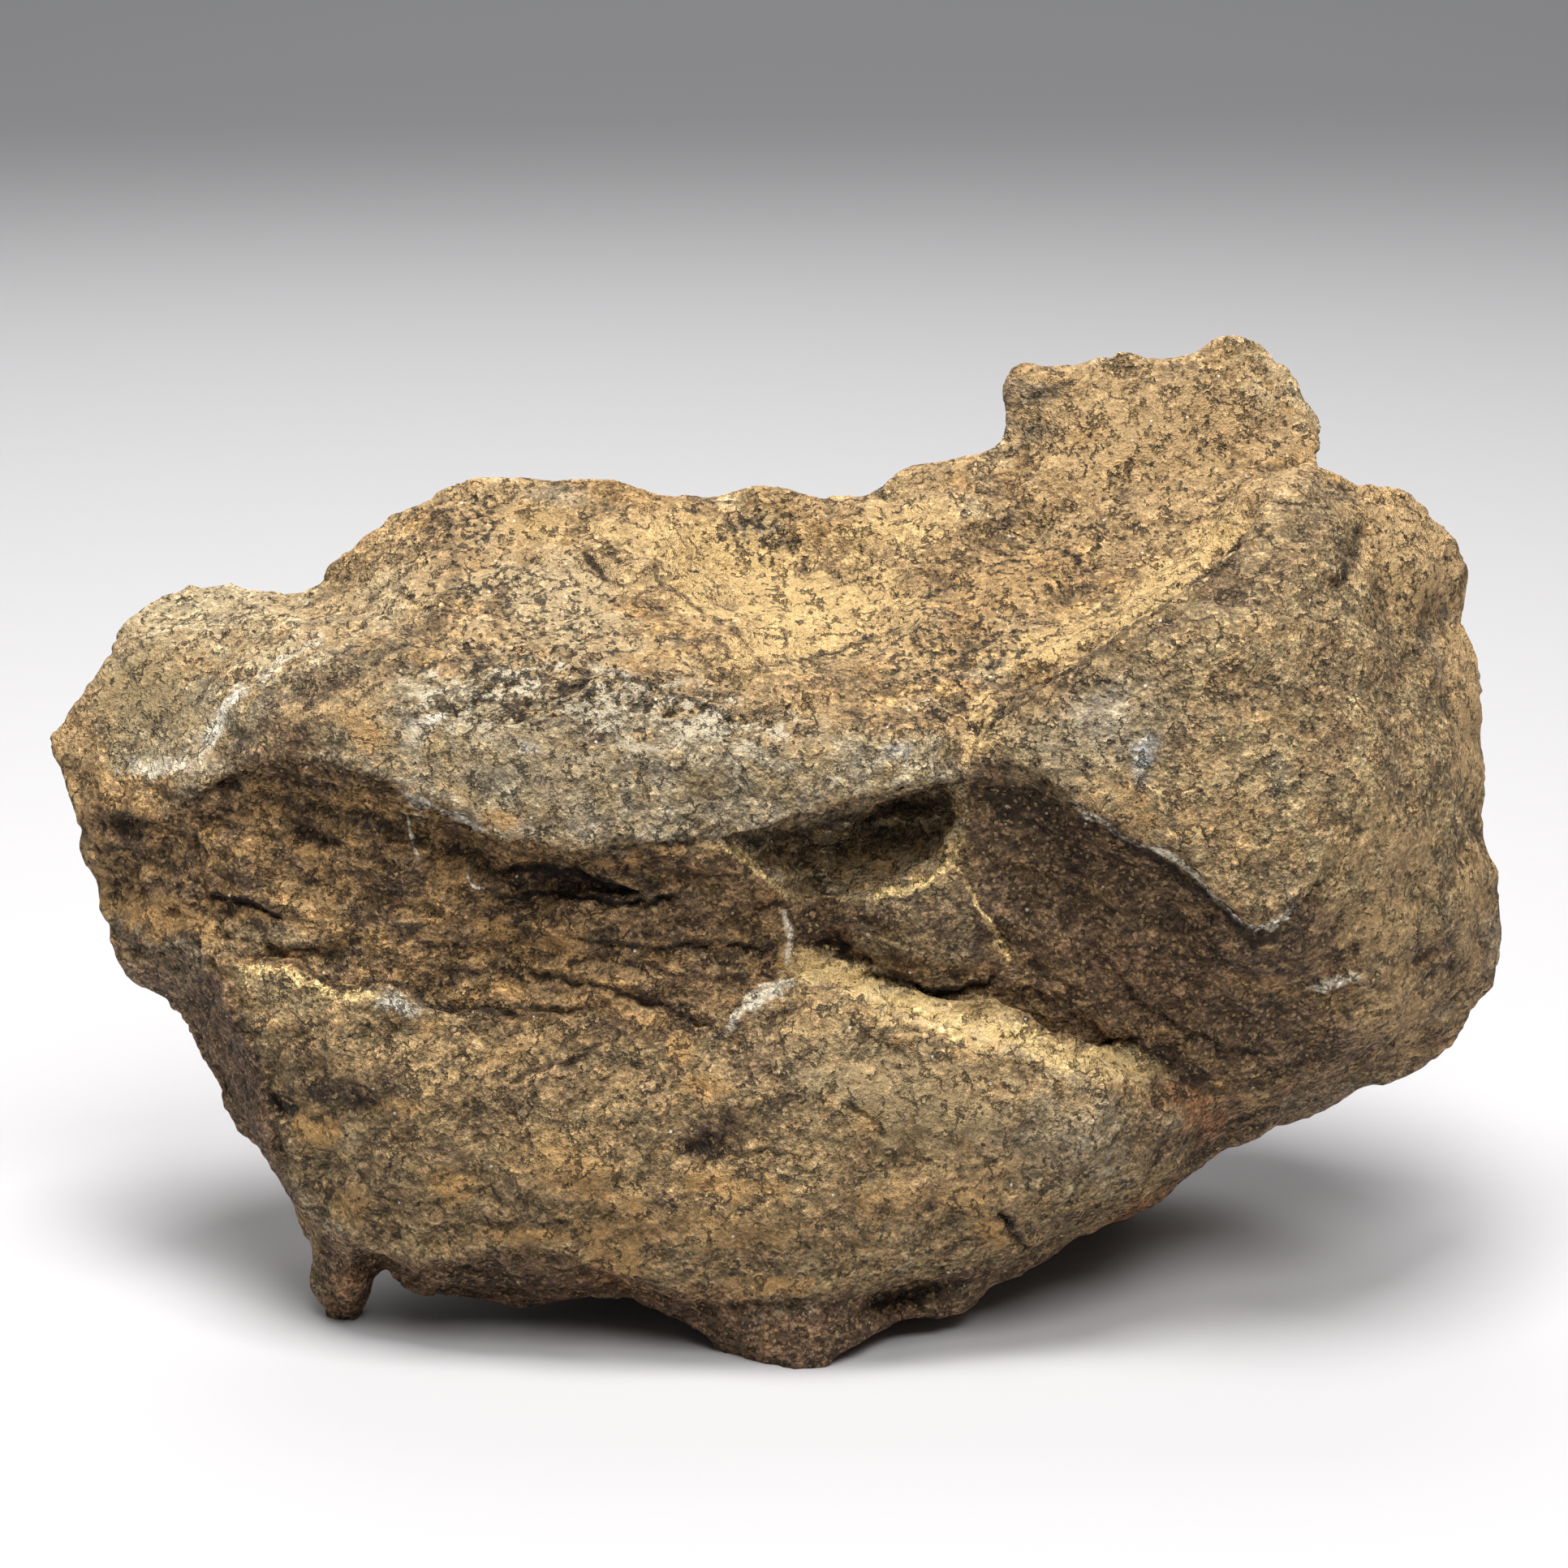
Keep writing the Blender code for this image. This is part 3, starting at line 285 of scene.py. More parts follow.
# Each zone: two colours that noise mixes, how soft and how ragged its edge is in pixels, and its outline
ZONES = [
    # the top of the left lobe, pale and dusty
    (PALE, TAN, 14, 12, [(90, 690), (330, 670), (460, 780), (400, 790), (300, 835), (190, 795), (110, 815)]),
    # the face of the left lobe
    (OLIVE, GREY, 10, 8, [
        (112, 812), (190, 790), (262, 832), (302, 842), (272, 882), (238, 948), (150, 958),
        (110, 900),
    ]),
    # the foot of the left lobe
    (OCHRE, TAN, 12, 14, [(50, 860), (110, 890), (150, 955), (240, 950), (205, 1005), (110, 1010), (60, 960)]),
    # the brow's band
    (OLIVE, GREY, 12, 12, [
        (200, 990), (240, 945), (272, 888), (310, 845), (400, 790), (480, 800), (560, 860),
        (700, 885), (900, 900), (1180, 905), (1200, 962), (1100, 982), (950, 1022), (885, 1036),
        (740, 1052), (620, 1036), (560, 1004), (440, 950), (330, 938),
    ]),
    # the pale flake on the lobe
    (CREAM, PALE, 3, 5, [
        (150, 934), (190, 936), (232, 924), (254, 890), (272, 862), (282, 870), (264, 912),
        (247, 948), (205, 958), (165, 952),
    ]),
    # the dark fold between the lobe and the brow
    (OLIVE, UMBER, 16, 20, [
        (505, 770), (530, 795), (470, 835), (420, 870), (395, 925), (345, 940), (325, 900),
        (370, 840), (440, 800),
    ]),
    # under the flaky crust along the top of the brow
    (GREY, OLIVE, 20, 24, FLAKY),
    # the dark beds under the brow
    (UMBER, OCHRE, 7, 10, [
        (110, 1000), (205, 1000), (262, 965), (330, 938), (440, 950), (560, 1006), (620, 1040),
        (740, 1056), (885, 1040), (975, 1106), (972, 1200), (905, 1262), (830, 1290), (700, 1262),
        (600, 1252), (520, 1240), (438, 1218), (375, 1190), (280, 1180), (180, 1150), (120, 1080),
    ]),
    # inside the notch, pale: painted light that lifts the notch's deep shade
    (PALE, TAN, 5, 4, [
        (888, 1036), (1000, 1005), (1190, 965), (1184, 1030), (1150, 1082), (1072, 1112),
        (975, 1104),
    ]),
    # the hollow left of the small block, darkened: painted shade
    (DARK, BLACK, 8, 8, [(975, 1104), (1066, 1112), (1050, 1180), (1000, 1170), (975, 1160)]),
    # the small block
    (DARK, OLIVE, 6, 6, [(1066, 1116), (1150, 1084), (1186, 1085), (1240, 1196), (1152, 1222), (1060, 1200)]),
    # the dark face under the flake
    (DARK, UMBER, 9, 10, [
        (1190, 965), (1250, 942), (1314, 983), (1432, 1046), (1549, 1147), (1612, 1108),
        (1680, 1180), (1600, 1290), (1460, 1330), (1310, 1284), (1214, 1224), (1186, 1085),
    ]),
    # the broad face of the block, above the flake's edge
    (OLIVE, BROWN, 10, 12, BLOCK_FACE),
    # the face of the slab
    (BROWN, OLIVE, 8, 10, [
        (276, 1196), (375, 1205), (438, 1226), (520, 1245), (600, 1258), (700, 1266), (830, 1292),
        (905, 1262), (930, 1222), (1000, 1212), (1100, 1262), (1250, 1302), (1400, 1342),
        (1460, 1420), (1420, 1480), (1300, 1540), (1200, 1560), (1060, 1590), (860, 1596),
        (760, 1560), (650, 1530), (520, 1556), (440, 1530), (352, 1450), (330, 1330),
    ]),
    # the gold crust on the ledge behind the slab, with painted light where the brow shades it
    (LIT_SAND, GOLD, 4, 9, CRUST),
    # the underside of the slab, lit from the floor
    (RED_BROWN, DARK, 8, 8, [
        (380, 1500), (440, 1536), (520, 1562), (650, 1538), (760, 1572), (860, 1604), (1050, 1600),
        (1200, 1590), (1080, 1690), (940, 1690), (780, 1640), (640, 1650), (420, 1650),
    ]),
    # the side of the slab, left of its face
    (RED_BROWN, DARK, 5, 6, [
        (230, 1200), (276, 1200), (302, 1262), (328, 1330), (352, 1450), (380, 1500), (300, 1440),
        (240, 1300),
    ]),
]

# Dust, which lies in grains: colour, middle (u, v), half width, half height, tilt in degrees, strength
DUST = [
    # places that dust has made even
    (OLIVE, 180, 860, 84, 60, 0, 0.7),
    (PALE, 240, 740, 150, 60, -10, 0.5),
    (TAN, 90, 930, 50, 80, 0, 0.6),
    (OCHRE, 100, 1080, 40, 80, -10, 0.5),
    (TAN, 1430, 530, 220, 110, -10, 0.65),
    (TAN, 1740, 690, 70, 110, 0, 0.6),
    (TAN, 620, 670, 180, 90, 0, 0.45),
    (TAN, 1700, 1060, 110, 150, 0, 0.35),
    (OLIVE, 1340, 900, 140, 80, -25, 0.35),
    (GREY, 700, 960, 260, 60, 4, 0.3),
    (BROWN, 620, 1450, 300, 90, 10, 0.25),
    (BROWN, 1150, 1420, 250, 110, -8, 0.3),
    (OLIVE, 1120, 1350, 190, 60, 12, 0.5),
    (TAN, 1730, 1250, 90, 60, -16, 0.6),
    (PALE, 1640, 480, 110, 60, 20, 0.5),
    # dust in the bowl and in the gully
    (GOLD, 900, 700, 190, 80, 12, 0.7),
    (GOLD, 960, 735, 150, 70, 12, 0.85),
    (GOLD, 1030, 770, 130, 44, -14, 0.85),
    (TAN, 740, 770, 120, 44, 30, 0.45),
    (GOLD, 1130, 650, 80, 30, -25, 0.55),
    (OCHRE, 1210, 730, 90, 50, -20, 0.35),
    # the brightest gold: partly painted light on the bowl and the gully
    (LIT_SAND, 990, 770, 70, 34, 0, 0.3),
    (LIT_SAND, 1450, 712, 90, 20, -38, 0.8),
    (GOLD, 830, 660, 60, 45, 40, 0.7),
    (GOLD, 1060, 650, 60, 34, -20, 0.6),
    (GOLD, 940, 800, 90, 28, -10, 0.7),
    (GOLD, 1430, 722, 110, 30, -38, 1),
    (GOLD, 1500, 660, 60, 26, -42, 1),
    (GOLD, 1295, 800, 70, 36, -35, 0.9),
    (GOLD, 1205, 900, 22, 55, 15, 1),
    (GOLD, 660, 650, 40, 26, 0, 0.7),
    (OCHRE, 655, 640, 26, 16, 0, 0.5),
    (GOLD, 1000, 880, 40, 14, 0, 0.4),
    (OCHRE, 1280, 700, 70, 30, -30, 0.4),
    (GOLD, 1140, 810, 40, 24, -30, 0.5),
    (OCHRE, 1190, 760, 30, 40, 0, 0.4),
    # grey and dark places on the top
    (CREAM, 525, 888, 36, 10, -12, 1),
    (PALE, 680, 740, 120, 70, 20, 0.4),
    (PALE, 470, 740, 50, 60, 20, 0.4),
    (TAN, 1420, 560, 170, 80, -10, 0.5),
    (OCHRE, 1340, 540, 26, 12, 0, 0.5),
    # the left lobe
    (CREAM, 200, 944, 52, 9, -10, 1),
    (CREAM, 264, 896, 9, 38, 28, 1),
    (PALE, 190, 925, 70, 22, -14, 0.5),
    (PALE, 330, 812, 60, 14, -32, 0.6),
    # the brow's band
    (OCHRE, 450, 905, 50, 30, 35, 0.6),
    (OCHRE, 615, 1008, 26, 14, 0, 0.8),
    (TAN, 560, 975, 70, 10, 35, 0.6),
    (OCHRE, 750, 1065, 60, 12, 0, 0.6),
    (TAN, 700, 1040, 60, 8, 6, 0.5),
    # the dark beds
    (OCHRE, 380, 1050, 60, 13, 14, 0.75),
    (OCHRE, 200, 1130, 90, 30, 12, 0.8),
    (TAN, 150, 1070, 40, 40, 0, 0.35),
    (OCHRE, 320, 1130, 60, 10, 14, 0.5),
    (OCHRE, 590, 1138, 44, 15, 4, 0.75),
    (OCHRE, 670, 1168, 50, 14, 0, 0.75),
    (OCHRE, 760, 1180, 50, 9, 0, 0.5),
    (TAN, 760, 1116, 60, 5, 4, 0.7),
    # round the notch, the crust and the small block
    (CREAM, 945, 1228, 42, 10, -24, 0.9),
    (CREAM, 966, 1135, 7, 26, 10, 0.9),
    (OCHRE, 968, 1180, 14, 26, 0, 0.8),
    (GOLD, 1012, 1192, 46, 20, 24, 1),
    (GOLD, 1090, 1228, 66, 22, 28, 1),
    # the brightest gold: painted light on the crust under the brow
    (LIT_SAND, 1045, 1204, 64, 16, 24, 1),
    (LIT_SAND, 1150, 1246, 50, 14, 28, 0.9),
    (LIT_SAND, 1250, 1280, 50, 12, 20, 0.7),
    (LIT_SAND, 1370, 1306, 50, 16, 12, 1),
    (GOLD, 1200, 1268, 66, 22, 24, 1),
    (GOLD, 1320, 1304, 80, 17, 12, 1),
    (PALE, 1392, 1300, 24, 9, 0, 0.6),
    # the block
    (TAN, 1740, 680, 60, 70, 0, 0.8),
    (TAN, 1810, 860, 34, 200, -6, 0.85),
    (TAN, 1815, 1130, 24, 90, 4, 0.6),
    (TAN, 1710, 1140, 80, 46, -10, 0.5),
    (OCHRE, 1420, 1000, 90, 22, 25, 0.45),
    (TAN, 1480, 1010, 50, 30, 20, 0.4),
    (TAN, 1740, 1050, 60, 80, 0, 0.35),
    # the dark face and its foot
    (OCHRE, 1560, 1215, 90, 26, 0, 0.4),
    (CREAM, 1640, 1212, 30, 10, -15, 0.85),
    (OCHRE, 1400, 1210, 90, 34, 30, 0.25),
    (TAN, 1545, 1352, 24, 14, 0, 0.7),
    (OCHRE, 1510, 1340, 30, 14, 0, 0.5),
    # the slab
    (CREAM, 488, 1236, 42, 20, 22, 0.8),
    (OCHRE, 530, 1262, 26, 14, 20, 0.5),
    (OCHRE, 392, 1392, 32, 28, 0, 0.9),
    (OCHRE, 555, 1462, 40, 26, 0, 0.9),
    (OCHRE, 505, 1365, 44, 20, 0, 0.7),
    (OCHRE, 862, 1338, 36, 22, 10, 0.95),
    (OCHRE, 838, 1295, 20, 36, 10, 0.8),
    (OCHRE, 900, 1462, 80, 22, 4, 0.8),
    (OCHRE, 955, 1582, 60, 14, 4, 0.9),
    (OCHRE, 760, 1552, 60, 16, 24, 0.7),
    (OCHRE, 650, 1522, 100, 12, 0, 0.7),
    (OCHRE, 700, 1440, 90, 46, 20, 0.5),
    (OCHRE, 860, 1515, 150, 36, 4, 0.5),
    (TAN, 1180, 1440, 120, 40, -10, 0.35),
    (OCHRE, 620, 1300, 60, 18, -14, 0.4),
    (OCHRE, 430, 1480, 50, 24, 20, 0.5),
    (OCHRE, 1120, 1480, 120, 30, -6, 0.4),
    (OCHRE, 1222, 1520, 30, 20, 30, 0.9),
    (OCHRE, 1070, 1385, 20, 16, 0, 0.5),
]

# Stains, which colour the stone itself, in the same order, and some painted glints and shade, marked
STAINS = [
    # grey and dark places on the top
    (GREY, 930, 655, 56, 22, 0, 0.8),
    (GREY, 680, 610, 60, 14, 4, 0.7),
    (BROWN, 1190, 725, 130, 74, -15, 1),
    (UMBER, 1190, 730, 110, 50, -25, 0.4),
    (RUST, 1190, 760, 24, 36, 0, 0.35),
    (BROWN, 1330, 640, 110, 50, -20, 0.6),
    (BROWN, 1000, 865, 120, 34, -6, 0.6),
    (DARK, 770, 835, 40, 9, 14, 0.7),
    (DARK, 850, 865, 50, 9, 20, 0.6),
    (GREY, 840, 905, 110, 14, 12, 0.7),
    (DARK, 1560, 520, 50, 34, 0, 0.35),
    (DARK, 1230, 860, 34, 22, -30, 0.4),
    (DARK, 1160, 880, 60, 18, -10, 0.35),
    # the left lobe
    (DARK, 130, 790, 26, 12, 0, 0.3),
    # the brow's band
    (DARK, 358, 900, 46, 44, 25, 0.9),
    (DARK, 400, 880, 50, 30, -10, 0.5),
    (UMBER, 330, 930, 60, 24, -10, 0.8),
    (DARK, 400, 850, 50, 16, -32, 0.6),
    # painted glint
    (GLINT, 655, 925, 18, 11, 0, 0.5),
    (GREY, 620, 965, 60, 24, 10, 0.5),
    (GREY, 1080, 940, 90, 16, -20, 0.55),
    # painted glint
    (GLINT, 1110, 925, 34, 10, -20, 0.35),
    (GREY, 840, 1000, 80, 22, 0, 0.45),
    # the dark beds
    (OLIVE, 320, 1156, 74, 20, 4, 0.85),
    # painted shade in two hollows
    (BLACK, 160, 1020, 34, 16, 12, 0.7),
    (BLACK, 375, 1028, 28, 22, 0, 0.7),
    (BLACK, 680, 1078, 60, 12, 6, 0.9),
    (BLACK, 560, 1040, 44, 20, 30, 0.45),
    (BLACK, 850, 1165, 70, 12, 0, 0.5),
    # painted shadow in the hollow under the bed above the slab
    (BLACK, 555, 1240, 40, 11, 8, 0.8),
    (BLACK, 600, 1200, 50, 12, 0, 0.45),
    (BLACK, 840, 1240, 80, 18, 12, 0.55),
    (BLACK, 480, 1130, 60, 14, 0, 0.3),
    (DARK, 800, 1110, 150, 50, 8, 0.5),
    (UMBER, 900, 1110, 70, 50, 20, 0.6),
    (UMBER, 850, 1210, 80, 30, 5, 0.6),
    # round the notch, the crust and the small block
    # painted shade in a hollow
    (BLACK, 1025, 1166, 28, 9, 8, 0.8),
    (DARK, 970, 1050, 60, 22, -10, 0.5),
    (OLIVE, 1130, 1150, 50, 34, 0, 0.5),
    (DARK, 1272, 1303, 38, 11, 14, 0.9),
    (DARK, 1415, 1330, 14, 11, 0, 0.8),
    (BLACK, 1468, 1332, 24, 12, 10, 0.6),
    # the block
    # painted glints: blue-grey reflections on the block
    (GLINT, 1410, 930, 16, 34, 8, 0.75),
    (GLINT, 1350, 890, 60, 46, -20, 0.35),
    (GREY, 1340, 900, 110, 60, -25, 0.6),
    (UMBER, 1300, 862, 70, 24, -36, 0.6),
    (DARK, 1420, 780, 90, 20, -38, 0.5),
    (DARK, 1520, 716, 60, 30, -45, 0.55),
    (DARK, 1606, 664, 40, 60, 20, 0.55),
    (DARK, 1640, 880, 36, 130, -5, 0.5),
    (UMBER, 1720, 930, 30, 150, -8, 0.4),
    (GREY, 1575, 955, 12, 38, 0, 0.6),
    (DARK, 1640, 710, 26, 34, 20, 0.6),
    # painted shade in a hollow
    (DARK, 1742, 808, 22, 15, -40, 0.8),
    (DARK, 1560, 1100, 60, 26, -35, 0.35),
    (DARK, 1225, 940, 40, 20, 0, 0.7),
    # the dark face and its foot
    # painted shadow under the flake's overhang
    (BLACK, 1250, 990, 60, 30, 30, 0.7),
    (BLACK, 1330, 1060, 90, 34, 35, 0.45),
    (RED_BROWN, 1390, 1190, 110, 50, 30, 0.5),
    # painted shade in a hollow
    (DARK, 1748, 1180, 18, 24, 20, 0.8),
    (DARK, 1620, 1290, 110, 26, -10, 0.7),
    (RUST, 1480, 1375, 40, 34, 35, 0.8),
    (RUST, 1450, 1350, 30, 16, 0, 0.6),
    (GREY, 1650, 1350, 110, 26, -16, 0.3),
    # the slab
    (OLIVE, 340, 1225, 50, 18, 20, 0.7),
    # painted shade in a hollow
    (BLACK, 352, 1358, 30, 26, 0, 1),
    (BLACK, 405, 1347, 52, 20, 8, 1),
    # painted shade in a hollow
    (DARK, 876, 1402, 54, 38, -8, 1),
    (BLACK, 866, 1412, 38, 24, -8, 0.8),
    (DARK, 470, 1330, 60, 20, -12, 0.5),
    (DARK, 770, 1275, 70, 14, 8, 0.7),
    (DARK, 530, 1420, 34, 16, 0, 0.5),
    (DARK, 630, 1520, 40, 12, 0, 0.6),
    (DARK, 700, 1310, 60, 16, -15, 0.5),
    (DARK, 640, 1350, 90, 30, -10, 0.45),
    (DARK, 560, 1400, 50, 30, -10, 0.4),
    (DARK, 460, 1440, 40, 24, 0, 0.4),
    (DARK, 930, 1260, 50, 24, 0, 0.5),
    (DARK, 928, 1312, 34, 28, 0, 0.75),
    (GREY, 1290, 1400, 110, 70, 0, 0.6),
    (GREY, 1090, 1330, 120, 40, 15, 0.35),
    (DARK, 1420, 1400, 30, 60, 10, 0.5),
    (DARK, 1320, 1510, 60, 16, -15, 0.5),
    (BLACK, 1250, 1515, 10, 26, -15, 0.7),
    (GREY, 420, 1400, 20, 20, 0, 0.5),
    (RUST, 1400, 1490, 70, 10, -30, 0.9),
    (RUST, 760, 1580, 50, 12, 20, 0.6),
    (RUST, 870, 1590, 50, 14, 10, 0.4),
    # painted shade in the pit on the tip
    (BLACK, 1125, 1600, 62, 18, -10, 0.75),
    (GREY, 970, 1612, 40, 12, 0, 0.4),
    (RUST, 425, 1590, 26, 30, 0, 0.3),
]

# Clusters of black specks: middle (u, v), half width, half height, tilt in degrees, strength
SPECKLED = [
    (640, 760, 150, 80, 20, 0.8),
    (720, 850, 150, 26, 6, 1),
    (930, 655, 70, 34, 0, 0.9),
    (1010, 720, 90, 40, 0, 0.35),
    (1180, 800, 120, 70, -15, 0.9),
    (1190, 880, 70, 40, 0, 0.9),
    (1300, 680, 120, 60, -20, 0.7),
    (1420, 560, 150, 90, -10, 0.5),
    (1560, 520, 70, 60, 0, 0.6),
    (240, 740, 120, 50, -10, 0.45),
    (560, 660, 60, 80, 0, 0.8),
    (1740, 700, 60, 80, 0, 0.5),
    (900, 890, 120, 30, 5, 0.6),
    (1340, 900, 150, 90, -25, 0.35),
]

# Lines of colour: line, half width in pixels, strength
PALE_LINES = [
    (LOBE_FLAKE[2:6], 8, 1),
    (LOBE_FLAKE[5:8], 5, 0.6),
    (BROW_RIM_WHITE, 5, 1),
    (SMALL_FLAKE, 2, 0.9),
    (SMALL_FLAKE_UNDER, 2, 0.95),
    (SLAB_BACK_EDGE, 5, 0.7),
    (WHITE_SPIKE, 4, 0.8),
    (FLAKE_WHITE, 4, 1),
]
# drawn in the brightest gold, partly painted light where they lie in shade
GOLD_LINES = [
    (LEFT_LEDGE_GOLD, 6, 0.95),
    (NOTCH_LEFT, 5, 0.95),
    (NOTCH_RIGHT, 6, 1),
    (SMALL_BLOCK_RIGHT, 4, 0.75),
    (CRUST_LIGHT, 15, 0.9),
]
# painted shade in cracks, grooves and under ledges; NOTCH_SHADOW and FLAKE_SHADOW are painted shadows
DARK_SHADE_LINES = [
    (NOTCH_SHADOW, 8, 0.7),
    (FLAKE_SHADOW, 7, 0.8),
    (GULLY_EDGE, 3, 0.75),
    (RIM_CRACK, 6, 0.95),
    (RIM_CRACK_UNDER, 4, 0.95),
    (BED_CRACK, 4, 0.7),
    (LEFT_BED_CRACK, 4, 0.95),
    (LEFT_LEDGE, 4, 0.7),
    (BED_LINE, 4, 0.6),
    (SMALL_BLOCK_UNDER, 5, 0.85),
    (DARK_FACE_LAYER, 4, 0.4),
    (SLAB_GROOVE, 3, 0.5),
    (SLAB_LINE, 3, 0.4),
    (SLAB_CRACK, 3, 0.6),
    (SLAB_NOTCH, 4, 0.5),
    (BLOCK_CREST, 4, 0.6),
    (BLOCK_TOP_GROOVE, 7, 0.6),
    (BOWL_WALL, 3, 0.7),
    (BOWL_RIM, 3, 0.7),
    (TOP_RIDGE, 3, 0.7),
    (TOP_DARK_RIDGE, 8, 0.4),
    (TOP_LINE, 4, 0.85),
]
LINE_REACH = 9

# Where beds show: how strong they are, how steeply they dip to the right in degrees, and the outline
BEDDED = [
    (1, 8, [
        (110, 990), (262, 960), (440, 945), (600, 1030), (885, 1030), (975, 1106), (980, 1250),
        (830, 1300), (600, 1270), (440, 1230), (150, 1180),
    ]),
    (0.6, 4, [(888, 1036), (1190, 965), (1180, 1080), (1060, 1200), (975, 1160)]),
    (0.6, 32, [(1190, 1000), (1540, 1160), (1700, 1180), (1600, 1330), (1300, 1290), (1200, 1220)]),
    (0.5, -14, [(290, 1240), (830, 1300), (900, 1450), (800, 1590), (450, 1540), (330, 1400)]),
    (0.3, -22, [(900, 1240), (1000, 1230), (1400, 1360), (1300, 1540), (860, 1590)]),
    (0.4, -16, [(1480, 1340), (1800, 1150), (1840, 1250), (1700, 1400), (1520, 1420)]),
]
REAR_BEDS = (0.6, 4)

# -------- numbers for the noise

# Chipped flats: how wide they are, and how far they rise and fall, in millimetres
BIG_CHIPS = (3.4, 0.7)
SMALL_CHIPS = (1.5, 0.35)
REAR_FACETS = (9, 0.6)
CRUMBS = (0.9, 0.5)
CREASES = (1.2, 0.26)
# Beds: how thick they are, how far they rise, and what part of each is its overhanging foot
THICK_BEDS = (2.1, 0.5, 0.2)
THIN_BEDS = (0.8, 0.26, 0.3)
# How far down the photograph the stone's top, which has specks of its own, can be seen
TOP_END = 900
# The material's noise: its scale for each metre, its detail and its roughness
GRIT = (2500, 3, 0.7)
DARK_GRIT = (1900, 3, 0.65)
CLUMPS = (900, 4, 0.8)
SEAMS = (520, 4, 0.65)
FLAKES = (420, 4, 0.7)
# The next two give painted light and shade on the grains: lighter above each grain, darker under it
FINE_LIT_GRAIN = (2300, 3, 0.6)
BROAD_LIT_GRAIN = (900, 3, 0.6)
# The scale for each metre of the crystals, and of the cells of which a few hold a spark
CRYSTALS = 5200
SPARKS = 850
SPARK_COLOUR = (0.9, 0.82, 0.68)
GRAIN_STRETCH = (1, 0.7, 1)
FLAKE_STRETCH = (1, 1, 2.6)
# In metres; the first two are how far up the painted light and shade on the grains looks
FINE_LIGHT_RISE = 0.00012
BROAD_LIGHT_RISE = 0.0003
BUMP_DEPTH = 0.0004

# -------- noise


def eased(low, high, values):
    """0 at or under low, 1 at or over high, with an even rise between them."""
    part = np.clip((values - low) / (high - low), 0, 1)
    return part * part * (3 - 2 * part)


def mixed(first, second, share):
    return first + (second - first) * share[:, None]


def flat(width, height):
    """A size for noise in lumps that are wider than they are high, as in beds."""
    return np.array([width, width, height])


def fractal(places, size, octaves=3, seed=0):
    """Perlin noise, from about -1 to 1, in lumps of the given size."""
    scaled = (places / size + seed).tolist()
    return np.array([noise.fractal(place, 0.8, 2, octaves) for place in scaled])


def turbulence(places, size, octaves=3, seed=0):
    """Creased noise, from 0 in the sharp creases to about 1 between them."""
    scaled = (places / size + seed).tolist()
    return np.array([noise.turbulence(place, octaves, True) for place in scaled])


def corner_rise(corners):
    """A rise from -1 to 1 for each corner of a grid, always the same one for the same corner."""
    shuffled = np.sin(corners @ CORNER_MIX) * 4375.85
    return 2 * (shuffled - np.floor(shuffled)) - 1


def facets(places, size, seed=0):
    """Flats that meet in sharp creases, as on a broken face, from -1 to 1."""
    turned = places @ GRID_TURN / size + seed
    corners = np.floor(turned)
    parts = turned - corners
    order = np.argsort(-parts, axis=1)
    ranked = np.take_along_axis(parts, order, axis=1)
    rows = np.arange(len(places))
    rise = (1 - ranked[:, 0]) * corner_rise(corners)
    for step in (0, 1):
        corners[rows, order[:, step]] += 1
        rise += (ranked[:, step] - ranked[:, step + 1]) * corner_rise(corners)
    corners[rows, order[:, 2]] += 1
    return rise + ranked[:, 2] * corner_rise(corners)


# -------- places on the photograph


def on_picture(places):
    """Where each place, in millimetres, lies on the photograph: (u, v) in pixels."""
    offset = places - FACE_CENTRE
    scale = 1 - offset @ TO_EYE / EYE_DISTANCE
    across = offset @ RIGHT / scale
    up = offset @ UPWARD / scale
    return np.stack([PICTURE_MIDDLE + across / PIXEL, PICTURE_MIDDLE - up / PIXEL], axis=1)


def wavered(places):
    """Where the places lie on the photograph, moved about a little so that no drawn edge is smooth."""
    coarse = fractal(places, 1.6, 2, seed=3)
    fine = fractal(places, 0.7, 1, seed=7)
    spots = on_picture(places)
    spots[:, 0] += 5 * coarse + 5 * fine
    spots[:, 1] += 6 * fine - 4 * coarse
    return spots


def along(line, spots):
    """How far each spot is from the line, below it or right of it counting as positive, and how
    far along the line its nearest point is, from 0 to 1."""
    points = np.array(line, float)
    lengths = np.linalg.norm(np.diff(points, axis=0), axis=1)
    starts = np.concatenate([[0], np.cumsum(lengths)])
    nearest = np.full(len(spots), np.inf)
    side = np.zeros(len(spots))
    reached = np.zeros(len(spots))
    for first, second, start, length in zip(points[:-1], points[1:], starts, lengths):
        course = (second - first) / length
        offset = spots - first
        part = np.clip(offset @ course, 0, length)
        distance = np.linalg.norm(offset - part[:, None] * course, axis=1)
        closer = distance < nearest
        nearest[closer] = distance[closer]
        side[closer] = np.sign(course[0] * offset[closer, 1] - course[1] * offset[closer, 0])
        reached[closer] = (start + part[closer]) / starts[-1]
    return nearest * side, reached


def tapered(reached):
    """1 along a line, going to 0 at its two ends."""
    return eased(0, 0.12, reached) * eased(0, 0.12, 1 - reached)


def near_line(line, reach, spots):
    points = np.array(line)
    low, high = points.min(axis=0) - reach, points.max(axis=0) + reach
    return np.flatnonzero(np.all((spots > low) & (spots < high), axis=1))


